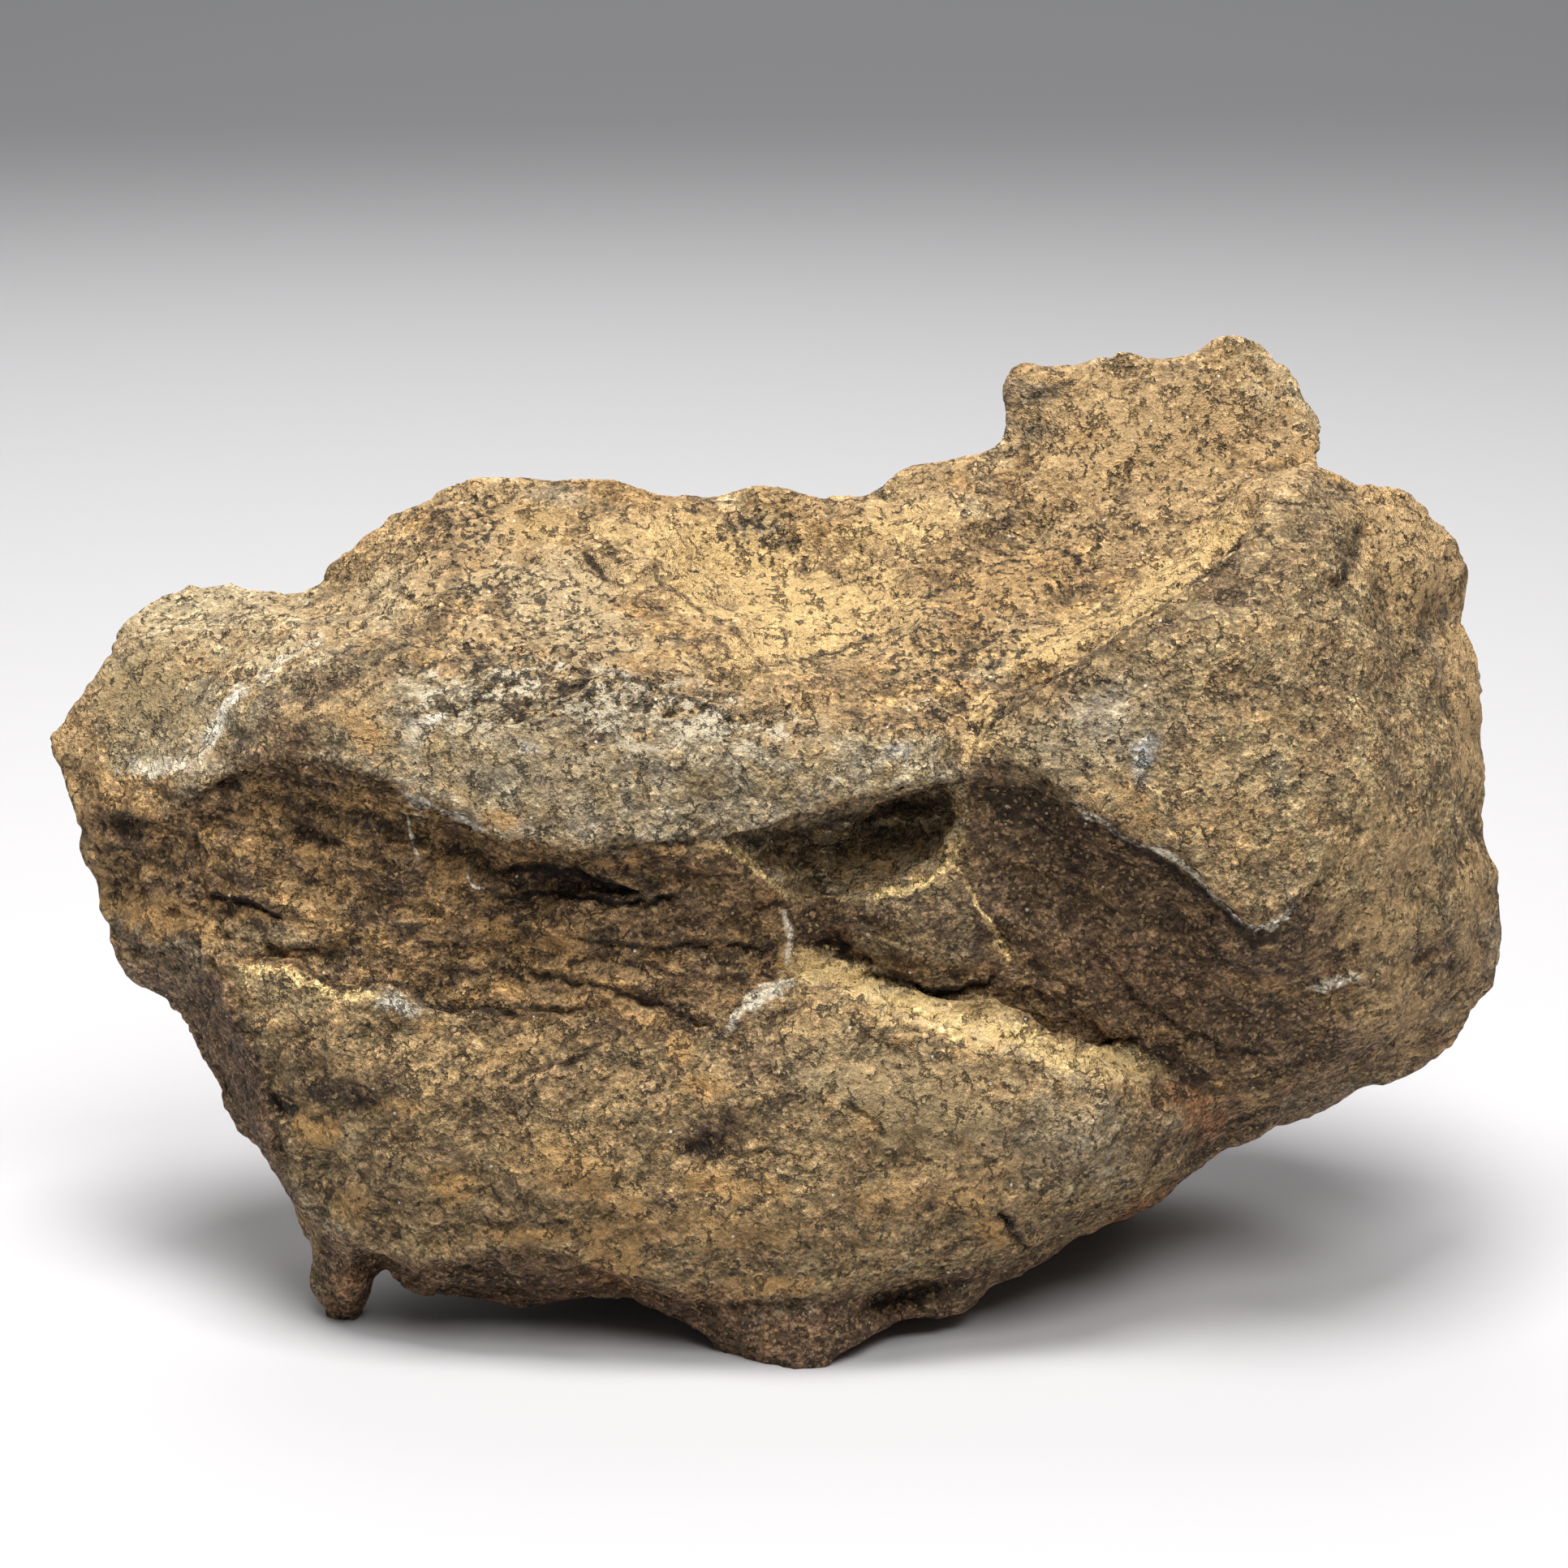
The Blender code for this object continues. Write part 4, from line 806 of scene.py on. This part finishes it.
def patched(spots, patch, ragged=0, core=0.3, rim=1.25):
    """The strength of a patch at each spot, all of it up to its core and none past its rim, both
    given as parts of its half width."""
    middle_u, middle_v, half_width, half_height, tilt, strength = patch
    turn = math.radians(tilt)
    along_u = spots[:, 0] - middle_u
    along_v = spots[:, 1] - middle_v
    across = along_u * math.cos(turn) + along_v * math.sin(turn)
    up = along_v * math.cos(turn) - along_u * math.sin(turn)
    reach = np.hypot(across / half_width, up / half_height)
    return strength * (1 - eased(core, rim, reach - ragged))


def inside(outline, spots):
    """How far each spot is inside the outline, in pixels; outside it the distance is negative."""
    points = np.array(outline, float)
    nearest = np.full(len(spots), np.inf)
    within = np.zeros(len(spots), bool)
    for first, second in zip(points, np.roll(points, -1, axis=0)):
        course = second - first
        offset = spots - first
        part = np.clip(offset @ course / (course @ course), 0, 1)
        nearest = np.minimum(nearest, np.linalg.norm(offset - part[:, None] * course, axis=1))
        crosses = (first[1] > spots[:, 1]) != (second[1] > spots[:, 1])
        slope = course[0] / course[1] if course[1] else 0
        within ^= crosses & (spots[:, 0] < first[0] + slope * (spots[:, 1] - first[1]))
    return np.where(within, nearest, -nearest)


# -------- relief


def line_relief(spots, places):
    rise = np.zeros(len(spots))
    patchy = np.clip(0.8 + 0.9 * fractal(places, 1.5, 2, seed=45), 0.15, 1.3)
    for line, above, above_reach, below, below_reach in RELIEF:
        close = near_line(line, max(above_reach, below_reach), spots)
        distance, reached = along(line, spots[close])
        over = above * (1 - eased(0, above_reach, -distance)) * (distance <= 0)
        under = below * (1 - eased(0, below_reach, distance)) * (distance > 0)
        rise[close] += (over + under) * tapered(reached) * patchy[close]
    return rise


def in_beds(places, dip):
    """The places with their height measured across beds that dip to the right by so many degrees."""
    turned = places.copy()
    slope = math.radians(dip)
    turned[:, 0] = places[:, 0] * math.cos(slope) - places[:, 2] * math.sin(slope)
    turned[:, 2] = places[:, 2] * math.cos(slope) + places[:, 0] * math.sin(slope)
    return turned


def bed_shares(spots, facing, normals, places):
    """For each dip, how strongly beds of that dip show at each place. The rear's beds come first."""
    steep = 1 - eased(0.5, 0.85, np.abs(normals[:, 2]))
    patches = eased(-0.2, 0.35, fractal(places, flat(14, 6), 2, seed=21))
    strength, dip = REAR_BEDS
    shares = [(dip, strength * steep * patches * (1 - facing))]
    for strength, dip, outline in BEDDED:
        share = strength * eased(-20, 20, inside(outline, spots)) * facing
        shares.append((dip, share))
    return shares


def layers(height, thick, rise, foot, offset=0):
    """Beds of one thickness, each standing out at its foot and drawing back above it."""
    lifted = height / thick + offset
    part = lifted - np.floor(lifted)
    return rise * (np.where(part < foot, part / foot, (1 - part) / (1 - foot)) - 0.5)


def bed_relief(places, warp, shares):
    rise = np.zeros(len(places))
    for dip, share in shares:
        shown = np.flatnonzero(share > 0.01)
        laid = in_beds(places[shown], dip)
        height = laid[:, 2] + warp[shown]
        patchy = 0.55 + 0.8 * fractal(laid, flat(5, 1.4), 2, seed=31)
        bedded = layers(height, *THICK_BEDS) + layers(height, *THIN_BEDS, offset=0.4)
        rise[shown] += bedded * np.clip(patchy, 0, 1.3) * share[shown]
    return rise


def chipped(places, chips, seed):
    size, rise = chips
    return rise * facets(places, size, seed)


def relief(places, normals):
    """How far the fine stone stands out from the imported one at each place, in millimetres."""
    facing = eased(-0.1, 0.15, normals @ TO_EYE)
    spots = wavered(places)
    knobs = sum(patched(spots, spot, rim=1.15) for spot in SPOTS)
    drawn = (line_relief(spots, places) + knobs) * facing
    warp = 1.3 * fractal(places, 7, 2, seed=11) + 0.4 * fractal(places, 1.8, 2, seed=5)
    shares = bed_shares(spots, facing, normals, places)
    beds = bed_relief(places, warp, shares)
    broken = 0.45 + 0.55 * np.clip(sum(share for dip, share in shares), 0, 1)
    bent = places + 0.6 * warp[:, None]
    chips = chipped(bent, BIG_CHIPS, seed=2) + chipped(bent, SMALL_CHIPS, seed=9)
    blocky = chipped(places + warp[:, None], REAR_FACETS, seed=60) * (1 - facing)
    rough = 0.06 * fractal(places, 2.6, 2, seed=1) + 0.07 * fractal(places, 0.65, 2, seed=4)
    crease_size, crease_depth = CREASES
    creases = crease_depth * (0.45 - turbulence(places, crease_size, 4, seed=17))
    crumbled = eased(-8, 8, np.maximum(inside(CRUST, spots), inside(FLAKY, spots)))
    crumbled = np.clip(crumbled + 0.5 * sum(share for dip, share in shares[1:]), 0, 1)
    crumbs = chipped(places, CRUMBS, seed=25) * crumbled * facing
    return drawn + beds + blocky + chips * broken + rough + creases * (0.3 + 0.7 * broken) + crumbs


# -------- mesh


def placed(name, data):
    """A new object in the scene that shows the data."""
    made = bpy.data.objects.new(name, data)
    bpy.context.scene.collection.objects.link(made)
    return made


def with_modifier(mesh, kind, chosen=None, **settings):
    """A copy of the mesh with one modifier applied, to the chosen vertices alone where they are given."""
    holder = placed("holder", mesh)
    modifier = holder.modifiers.new(kind.lower(), kind)
    for name, value in settings.items():
        setattr(modifier, name, value)
    if chosen is not None:
        holder.vertex_groups.clear()
        group = holder.vertex_groups.new(name="chosen")
        group.add(np.flatnonzero(chosen).tolist(), 1, "REPLACE")
        modifier.vertex_group = "chosen"
    graph = bpy.context.evaluated_depsgraph_get()
    changed = bpy.data.meshes.new_from_object(holder.evaluated_get(graph))
    bpy.data.objects.remove(holder)
    bpy.data.meshes.remove(mesh)
    return changed


def thinned(mesh, chosen, triangles):
    """A copy of the mesh in which the chosen vertices are thinned, so that so many triangles are left."""
    return with_modifier(mesh, "DECIMATE", chosen, ratio=triangles / len(mesh.polygons))


def numbers(items, name, width):
    values = np.zeros(len(items) * width, np.float32)
    items.foreach_get(name, values)
    return values.reshape(-1, width).astype(float)


def move_to(mesh, places):
    mesh.vertices.foreach_set("co", places.astype(np.float32).ravel())


def facing_eye(mesh):
    """Which of the mesh's vertices face the photograph's eye."""
    return numbers(mesh.vertex_normals, "vector", 3) @ TO_EYE > -0.1


def hollows(mesh, places, normals, passes):
    """How far each place lies below the smoothed stone round it, in millimetres."""
    edges = numbers(mesh.edges, "vertices", 2).astype(int)
    near, far = np.concatenate([edges, edges[:, ::-1]]).T
    count = np.bincount(near, minlength=len(places))
    smooth = places.copy()
    for _ in range(passes):
        sums = [np.bincount(near, smooth[far, axis], len(places)) for axis in range(3)]
        smooth = np.stack(sums, axis=1) / count[:, None]
    return np.sum((smooth - places) * normals, axis=1)


def fine_stone():
    """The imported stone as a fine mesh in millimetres, with the relief on it."""
    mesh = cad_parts["stone"].data.copy()
    mesh.materials.clear()
    places = numbers(mesh.vertices, "co", 3) / MM
    move_to(mesh, places)
    mesh = with_modifier(mesh, "WELD", merge_threshold=0.001)
    mesh = with_modifier(mesh, "REMESH", mode="VOXEL", voxel_size=FINE_GRAIN)
    mesh = with_modifier(mesh, "SMOOTH", factor=0.5, iterations=ROUNDING_PASSES)
    places = numbers(mesh.vertices, "co", 3)
    normals = numbers(mesh.vertex_normals, "vector", 3)
    places += normals * relief(places, normals)[:, None]
    proud = np.maximum(-hollows(mesh, places, normals, 10) - PROUDEST, 0)
    places -= normals * proud[:, None]
    places[:, 2] = np.where(places[:, 2] < FOOT_HEIGHT, 0, places[:, 2])
    low, high = (np.array(corner) / MM for corner in cad_box)
    places = np.clip(places, low, high)
    move_to(mesh, places)
    mesh = with_modifier(mesh, "TRIANGULATE")
    front = facing_eye(mesh)
    corners = numbers(mesh.loops, "vertex_index", 1).astype(int).reshape(-1, 3)
    front_triangles = front[corners].any(axis=1).sum()
    mesh = thinned(mesh, ~front, front_triangles + REAR_TRIANGLES)
    return thinned(mesh, facing_eye(mesh), FRONT_TRIANGLES + REAR_TRIANGLES)


# -------- colour


def coat(places, normals):
    """The colours that the stone has anywhere: brown, with dust on what faces up."""
    wide = fractal(places, 9, 3, seed=2)
    close = fractal(places, 2.2, 3, seed=8)
    streaks = fractal(places, flat(4, 1.1), 3, seed=13)
    warm = fractal(places, flat(8, 3.5), 4, seed=40)
    cold = fractal(places, flat(12, 6), 4, seed=83)
    base = mixed(BROWN, OLIVE, eased(-0.35, 0.4, wide))
    base = mixed(base, DARK, 0.8 * eased(0, 0.45, streaks + 0.3 * close))
    base = mixed(base, OCHRE, 0.6 * eased(0.1, 0.6, warm))
    base = mixed(base, GREY, 0.5 * eased(0.1, 0.5, cold))
    under = eased(0.1, 0.7, -normals[:, 2] + 0.25 * wide)
    base = mixed(base, RED_BROWN, 0.7 * under)
    dust = mixed(OCHRE, TAN, eased(-0.3, 0.4, fractal(places, 6.5, 3, seed=55)))
    dust = mixed(dust, PALE, 0.5 * eased(0.1, 0.6, fractal(places, 4, 3, seed=61)))
    dust = mixed(dust, BROWN, 0.9 * eased(-0.2, 0.35, close + 0.5 * wide))
    lying = eased(0.25, 0.75, normals[:, 2] + 0.18 * close + 0.12 * wide)
    return mixed(base, dust, lying)


def zoned(paint, spots, facing, broken, grainy):
    """The paint with the zones of the broad face on it."""
    for first, second, soft, fray, outline in ZONES:
        edge = inside(outline, spots) + fray * broken
        shown = eased(-soft, soft, edge) * facing * 0.95
        blend = mixed(first, second, eased(-0.5, 0.6, broken + 0.5 * grainy))
        paint = mixed(paint, blend, shown)
    return paint


def streaked(paint, places, shares, broken, grainy):
    """The paint with rusty and dark streaks along the beds."""
    for dip, share in shares:
        shown = np.flatnonzero(share > 0.01)
        laid = in_beds(places[shown], dip)
        streaks = fractal(laid, flat(3.4, 0.7), 4, seed=33) + 0.25 * grainy[shown]
        dark = eased(-0.1, 0.3, streaks) * share[shown] * 0.6
        rusty = eased(0.12, 0.6, -streaks + 0.4 * broken[shown]) * share[shown] * 0.5
        paint[shown] = mixed(paint[shown], OCHRE, rusty)
        paint[shown] = mixed(paint[shown], BLACK, dark)
    return paint


def lined(lines, spots, facing):
    """How far each place is from the nearest of the lines, in its half widths, and how strong it is."""
    nearest = np.full(len(spots), np.inf)
    found = np.zeros((len(spots), 3))
    for line, half_width, strength in lines:
        close = near_line(line, half_width + 2 * LINE_REACH, spots)
        distance, reached = along(line, spots[close])
        closer = np.abs(distance) < nearest[close]
        close, distance, reached = close[closer], distance[closer], reached[closer]
        nearest[close] = np.abs(distance)
        fading = 1 - eased(half_width + LINE_REACH, half_width + 1.4 * LINE_REACH, nearest[close])
        found[close, 0] = distance / half_width
        found[close, 1] = strength * fading * tapered(reached) * facing[close]
    return found


def dusted(places, normals, spots, facing, ragged):
    """The dust's colour and, as a fourth number, its share."""
    lying = eased(0.2, 0.8, normals[:, 2])
    dust = mixed(np.tile(OCHRE, (len(spots), 1)), TAN, lying)
    drifts = fractal(places, flat(7, 2.6), 4, seed=121)
    share = (0.55 - 0.35 * facing) * eased(0, 0.6, drifts)
    film = 0.55 * lying * eased(-0.5, 0.5, fractal(places, 5, 3, seed=131))
    swept = 1 - 0.8 * eased(-4, 7, inside(BLOCK_FACE, spots)) * facing
    share = np.maximum(share, film) * (0.4 + 0.6 * swept)
    for shade, *patch in DUST:
        shown = patched(spots, patch, ragged) * facing
        if shade is GOLD:
            shown *= swept
        share = 1 - (1 - share) * (1 - shown)
        dust = mixed(dust, shade, shown / np.maximum(share, 0.001))
    return np.column_stack([dust, np.minimum(share, DUSTIEST)])


def speckled(spots, facing, normals, ragged):
    share = 0.2 * eased(0.3, 0.8, normals[:, 2]) * (spots[:, 1] < TOP_END)
    for patch in SPECKLED:
        share = np.maximum(share, patched(spots, patch, ragged, 0.4, 1.3) * facing)
    return share


def painted(mesh, places, normals):
    """The layers of colour that the material puts together, by name."""
    facing = eased(-0.02, 0.2, normals @ TO_EYE)
    spots = wavered(places)
    broken = fractal(places, 1.5, 3, seed=70)
    grainy = fractal(places, 0.6, 2, seed=90)
    ragged = 0.45 * broken + 0.25 * fractal(places, 3.5, 2, seed=77) + 0.25 * grainy
    paint = zoned(coat(places, normals), spots, facing, broken, grainy)
    paint = streaked(paint, places, bed_shares(spots, facing, normals, places), broken, grainy)
    mottled = fractal(places, 2.8, 4, seed=101)
    paint = mixed(paint, paint * DARK / BROWN, 0.45 * eased(0, 0.5, mottled) * facing)
    for shade, *patch in STAINS:
        paint = mixed(paint, shade, patched(spots, patch, ragged) * facing)
    # painted shade and highlight: the paint is darker in hollows and creases, lighter on raised edges
    close = hollows(mesh, places, normals, 3)
    wide = hollows(mesh, places, normals, 24)
    hollow_shade = np.clip(eased(0.01, 0.1, close) + eased(0.06, 0.45, wide), 0, 1)
    edge_highlight = np.clip(eased(0.01, 0.08, -close) + eased(0.06, 0.4, -wide), 0, 1)
    paint = mixed(paint, paint * 0.45, hollow_shade * 0.7)
    paint = mixed(paint, paint * 1.3, edge_highlight * 0.6)
    flaky = eased(-22, 14, inside(FLAKY, spots) + 20 * broken)
    crusty = 0.25 * eased(-6, 8, inside(CRUST, spots) + 8 * broken)
    return {
        "stone_colour": paint,
        "dust_colour": dusted(places, normals, spots, facing, ragged - 0.2 * hollow_shade),
        "flakes": np.maximum(flaky, crusty) * facing,
        "specks": speckled(spots, facing, normals, ragged + 0.3 * hollow_shade),
        "pale_line": lined(PALE_LINES, spots, facing),
        "gold_line": lined(GOLD_LINES, spots, facing),
        "dark_shade_line": lined(DARK_SHADE_LINES, spots, facing),
    }


def keep(mesh, name, values):
    """Stores a number, a vector or a colour for each vertex."""
    if values.ndim == 1:
        made = mesh.attributes.new(name, "FLOAT", "POINT")
        made.data.foreach_set("value", values.astype(np.float32))
    elif name.endswith("line"):
        made = mesh.attributes.new(name, "FLOAT_VECTOR", "POINT")
        made.data.foreach_set("vector", values.astype(np.float32).ravel())
    else:
        made = mesh.color_attributes.new(name, "FLOAT_COLOR", "POINT")
        rgba = np.ones((len(values), 4), np.float32)
        rgba[:, : values.shape[1]] = np.clip(values, 0, 1)
        made.data.foreach_set("color", rgba.ravel())


# -------- material


def new_material(name):
    """A new material, and the inputs of its surface."""
    made = bpy.data.materials.new(name)
    made.use_nodes = True
    return made, made.node_tree.nodes["Principled BSDF"].inputs


def feed(socket, value):
    """Links the socket to a Value, or sets it to a plain number, vector or colour."""
    if isinstance(value, Value):
        socket.id_data.links.new(value.socket, socket)
    else:
        socket.default_value = value


def node(tree, kind, inputs, **settings):
    """The outputs of a new node with the given inputs and settings."""
    made = tree.nodes.new(kind)
    for name, value in settings.items():
        setattr(made, name, value)
    for name, value in inputs.items():
        feed(made.inputs[name], value)
    return made.outputs


class Value:
    """What one output of a material's node gives, to be worked with as a number or a colour."""

    def __init__(self, outputs, name=0):
        self.socket = outputs[name]
        self.tree = self.socket.id_data

    def arithmetic(self, operation, first, second=0, clamped=False):
        inputs = {0: first, 1: second}
        return Value(node(self.tree, "ShaderNodeMath", inputs, operation=operation, use_clamp=clamped))

    def __add__(self, other):
        return self.arithmetic("ADD", self, other)

    def __sub__(self, other):
        return self.arithmetic("SUBTRACT", self, other)

    def __rsub__(self, other):
        return self.arithmetic("SUBTRACT", other, self)

    def __mul__(self, other):
        return self.arithmetic("MULTIPLY", self, other)

    def __abs__(self):
        return self.arithmetic("ABSOLUTE", self)

    def ramped(self, low, high, bottom=0, top=1):
        """The number spread from low..high to bottom..top."""
        inputs = {"Value": self, "From Min": low, "From Max": high, "To Min": bottom, "To Max": top}
        return Value(node(self.tree, "ShaderNodeMapRange", inputs), "Result")

    def tinted(self, shade, share):
        """The colour with so much of the shade, a Value or one of the palette, in it."""
        shade = shade if isinstance(shade, Value) else (*shade, 1)
        inputs = {0: share, 6: self, 7: shade}
        return Value(node(self.tree, "ShaderNodeMix", inputs, data_type="RGBA"), 2)

    def brightened(self, share):
        inputs = {0: self, "Scale": share}
        return Value(node(self.tree, "ShaderNodeVectorMath", inputs, operation="SCALE"))

    def raised(self, height):
        inputs = {0: self, 1: (0, 0, height)}
        return Value(node(self.tree, "ShaderNodeVectorMath", inputs, operation="ADD"))

    def stretched(self, scale):
        return Value(node(self.tree, "ShaderNodeMapping", {"Vector": self, "Scale": scale}))

    def lumps(self, scale, detail, roughness):
        """Noise at this place."""
        inputs = {"Vector": self, "Scale": scale, "Detail": detail, "Roughness": roughness}
        return Value(node(self.tree, "ShaderNodeTexNoise", inputs), "Fac")

    def lit_grain(self, grain, rise, strength):
        """Painted light and shade at this place: each grain lighter on its upper side and darker under it."""
        slope = self.lumps(*grain) - self.raised(rise).lumps(*grain)
        return slope.ramped(-0.14, 0.14, 1 - strength, 1 + strength)

    def cells(self, scale):
        """Random cells at this place: how far a cell's middle is, and the numbers that the cell draws."""
        made = node(self.tree, "ShaderNodeTexVoronoi", {"Vector": self, "Scale": scale})
        drawn = node(self.tree, "ShaderNodeSeparateColor", {"Color": Value(made, "Color")})
        return Value(made, "Distance"), drawn


def line_share(tree, name, ragged):
    """How much of a line's colour shows, from its stored distance and strength."""
    stored = Value(node(tree, "ShaderNodeAttribute", {}, attribute_name=name), "Vector")
    parts = node(tree, "ShaderNodeSeparateXYZ", {"Vector": stored})
    distance = abs(Value(parts, "X") + ragged)
    return distance.ramped(0.6, 1.2, 1, 0) * Value(parts, "Y")


def grained_stone():
    """The stone's colours, with the grain, dust, specks and fine lines that the mesh can't hold."""
    material, surface = new_material("grained_stone")
    tree = material.node_tree
    place = Value(node(tree, "ShaderNodeTexCoord", {}), "Object").stretched(GRAIN_STRETCH)
    dust = node(tree, "ShaderNodeAttribute", {}, attribute_name="dust_colour")
    dust_share = Value(dust, "Alpha")
    shown = Value(node(tree, "ShaderNodeAttribute", {}, attribute_name="stone_colour"), "Color")
    flakes = Value(node(tree, "ShaderNodeAttribute", {}, attribute_name="flakes"), "Fac")
    specks = Value(node(tree, "ShaderNodeAttribute", {}, attribute_name="specks"), "Fac")
    grit = place.lumps(*GRIT)
    clumps = place.lumps(*CLUMPS)
    crystal = place.cells(CRYSTALS)[1]
    spark_distance, spark_lot = place.cells(SPARKS)

    # dust lies in grains, so its share decides how many grains are dust and not how strong each is
    piled = (grit - 0.5) * 1.2 + dust_share
    shown = shown.tinted(Value(dust, "Color"), piled.ramped(0.25, 0.75))
    ragged = (clumps - 0.5) * 4.5
    # gold lines in the brightest gold: partly painted light
    shown = shown.tinted(LIT_SAND, line_share(tree, "gold_line", ragged))
    shown = shown.tinted(CREAM, line_share(tree, "pale_line", ragged * 0.5))

    # the grain's tone, with painted light and shade on each grain, which dust hides
    shade = grit.ramped(0.32, 0.68, 0.65, 1.4) * clumps.ramped(0.3, 0.7, 0.65, 1.35)
    # painted light and shade: each grain lit on its upper side and shaded under it
    shade = shade * place.lit_grain(FINE_LIT_GRAIN, FINE_LIGHT_RISE, 0.6) * place.lit_grain(BROAD_LIT_GRAIN, BROAD_LIGHT_RISE, 0.4)
    plain = dust_share * 0.85
    bare = 1 - plain
    shown = shown.brightened(plain + shade * bare)
    shown = shown.tinted(TAN, Value(crystal, "Green").ramped(0.88, 0.93, 0, 0.7) * bare)
    shown = shown.tinted(SHADOW, Value(crystal, "Red").ramped(0.8, 0.88, 0, 0.4) * bare)

    # pale flakes with dark gaps between them
    flake = place.stretched(FLAKE_STRETCH).lumps(*FLAKES)
    shown = shown.tinted((CREAM + PALE) / 2, flake.ramped(0.52, 0.57, 0, 0.9) * flakes)
    shown = shown.tinted(BLACK, flake.ramped(0.45, 0.4, 0, 0.85) * flakes)

    # black specks, dark lines of painted shade and shadow, and seams between the clumps of grain
    peppered = place.lumps(*DARK_GRIT) + specks * 0.15
    shown = shown.tinted(SHADOW, peppered.ramped(0.64, 0.7, 0, 0.85))
    shown = shown.tinted(SHADOW, line_share(tree, "dark_shade_line", ragged))
    seams = abs(place.lumps(*SEAMS) - 0.5).ramped(0.01, 0.032, 1, 0) * clumps.ramped(0.46, 0.58)
    shown = shown.tinted(SHADOW, seams * 0.75)

    # a few crystals that catch the light
    spark = spark_distance.ramped(0.1, 0.06) * Value(spark_lot, "Red").ramped(0.72, 0.75)
    crystal_tone = Value(crystal, "Blue")
    rough = crystal_tone.ramped(0, 1, 0.95, 0.7)
    feed(surface["Base Color"], shown.tinted(SPARK_COLOUR, spark))
    feed(surface["Roughness"], rough.arithmetic("SUBTRACT", rough, spark, clamped=True))
    feed(surface["Specular IOR Level"], 0.35)

    height = grit * 1.6 + crystal_tone + clumps - seams * 1.2
    inputs = {"Height": height, "Strength": 1, "Distance": BUMP_DEPTH}
    feed(surface["Normal"], Value(node(tree, "ShaderNodeBump", inputs), "Normal"))
    return material


# -------- the scene

FLOOR_REACH = 3
FLOOR_COLOUR = (0.58, 0.58, 0.6, 1)
SKY_COLOUR = (0.8, 0.84, 0.9, 1)
SKY_STRENGTH = 0.1
STONE_MIDDLE = (0, 0, 0.03)
# Lights: name, place, size, watts, tint and what it is aimed at
LIGHTS = [
    ("softbox", (-0.03, -0.05, 0.6), 0.28, 4.1, (1, 0.98, 0.95), STONE_MIDDLE),
    ("front_fill", (0.12, -0.47, 0.62), 0.4, 4.1, (1, 0.98, 0.96), STONE_MIDDLE),
    ("rear_fill", (-0.1, 0.5, 0.5), 0.4, 1.5, (1, 0.98, 0.96), STONE_MIDDLE),
    ("floor_wash", (0, 1.6, 0.9), 1.4, 4.5, (1, 0.99, 0.97), (0, 1.3, 0)),
]


def make_stone():
    mesh = fine_stone()
    places = numbers(mesh.vertices, "co", 3)
    normals = numbers(mesh.vertex_normals, "vector", 3)
    for name, values in painted(mesh, places, normals).items():
        keep(mesh, name, values)
    move_to(mesh, places * MM)
    mesh.polygons.foreach_set("use_smooth", [True] * len(mesh.polygons))
    mesh.name = "weathered_stone"
    mesh.materials.append(grained_stone())
    stone = placed("weathered_stone", mesh)
    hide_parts("stone")
    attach(stone, "root")


def make_floor():
    mesh = bpy.data.meshes.new("floor")
    side = FLOOR_REACH
    corners = [(-side, -side, 0), (side, -side, 0), (side, side, 0), (-side, side, 0)]
    mesh.from_pydata(corners, [], [(0, 1, 2, 3)])
    material, surface = new_material("pale_floor")
    feed(surface["Base Color"], FLOOR_COLOUR)
    feed(surface["Roughness"], 0.6)
    feed(surface["Specular IOR Level"], 0.2)
    mesh.materials.append(material)
    placed("floor", mesh)


def make_lights():
    for name, place, size, watts, tint, target in LIGHTS:
        light = bpy.data.lights.new(name, "AREA")
        light.energy = watts
        light.size = size
        light.color = tint
        holder = placed(name, light)
        holder.location = place
        aim = Vector(target) - holder.location
        holder.rotation_euler = aim.to_track_quat("-Z", "Y").to_euler()
    world = bpy.data.worlds.new("studio")
    world.use_nodes = True
    backdrop = world.node_tree.nodes["Background"].inputs
    backdrop["Color"].default_value = SKY_COLOUR
    backdrop["Strength"].default_value = SKY_STRENGTH
    bpy.context.scene.world = world


def make_camera():
    camera = bpy.data.cameras.new("camera")
    camera.sensor_width = SENSOR
    camera.lens = SENSOR * EYE_DISTANCE / (PICTURE_SIDE * PIXEL)
    camera.clip_start = 0.01
    holder = placed("camera", camera)
    holder.location = Vector((FACE_CENTRE + TO_EYE * EYE_DISTANCE) * MM)
    holder.rotation_euler = (math.pi / 2 - EYE_RISE, 0, 0)
    bpy.context.scene.camera = holder


make_camera()
make_floor()
make_lights()
make_stone()
bpy.context.scene.view_settings.view_transform = "Standard"
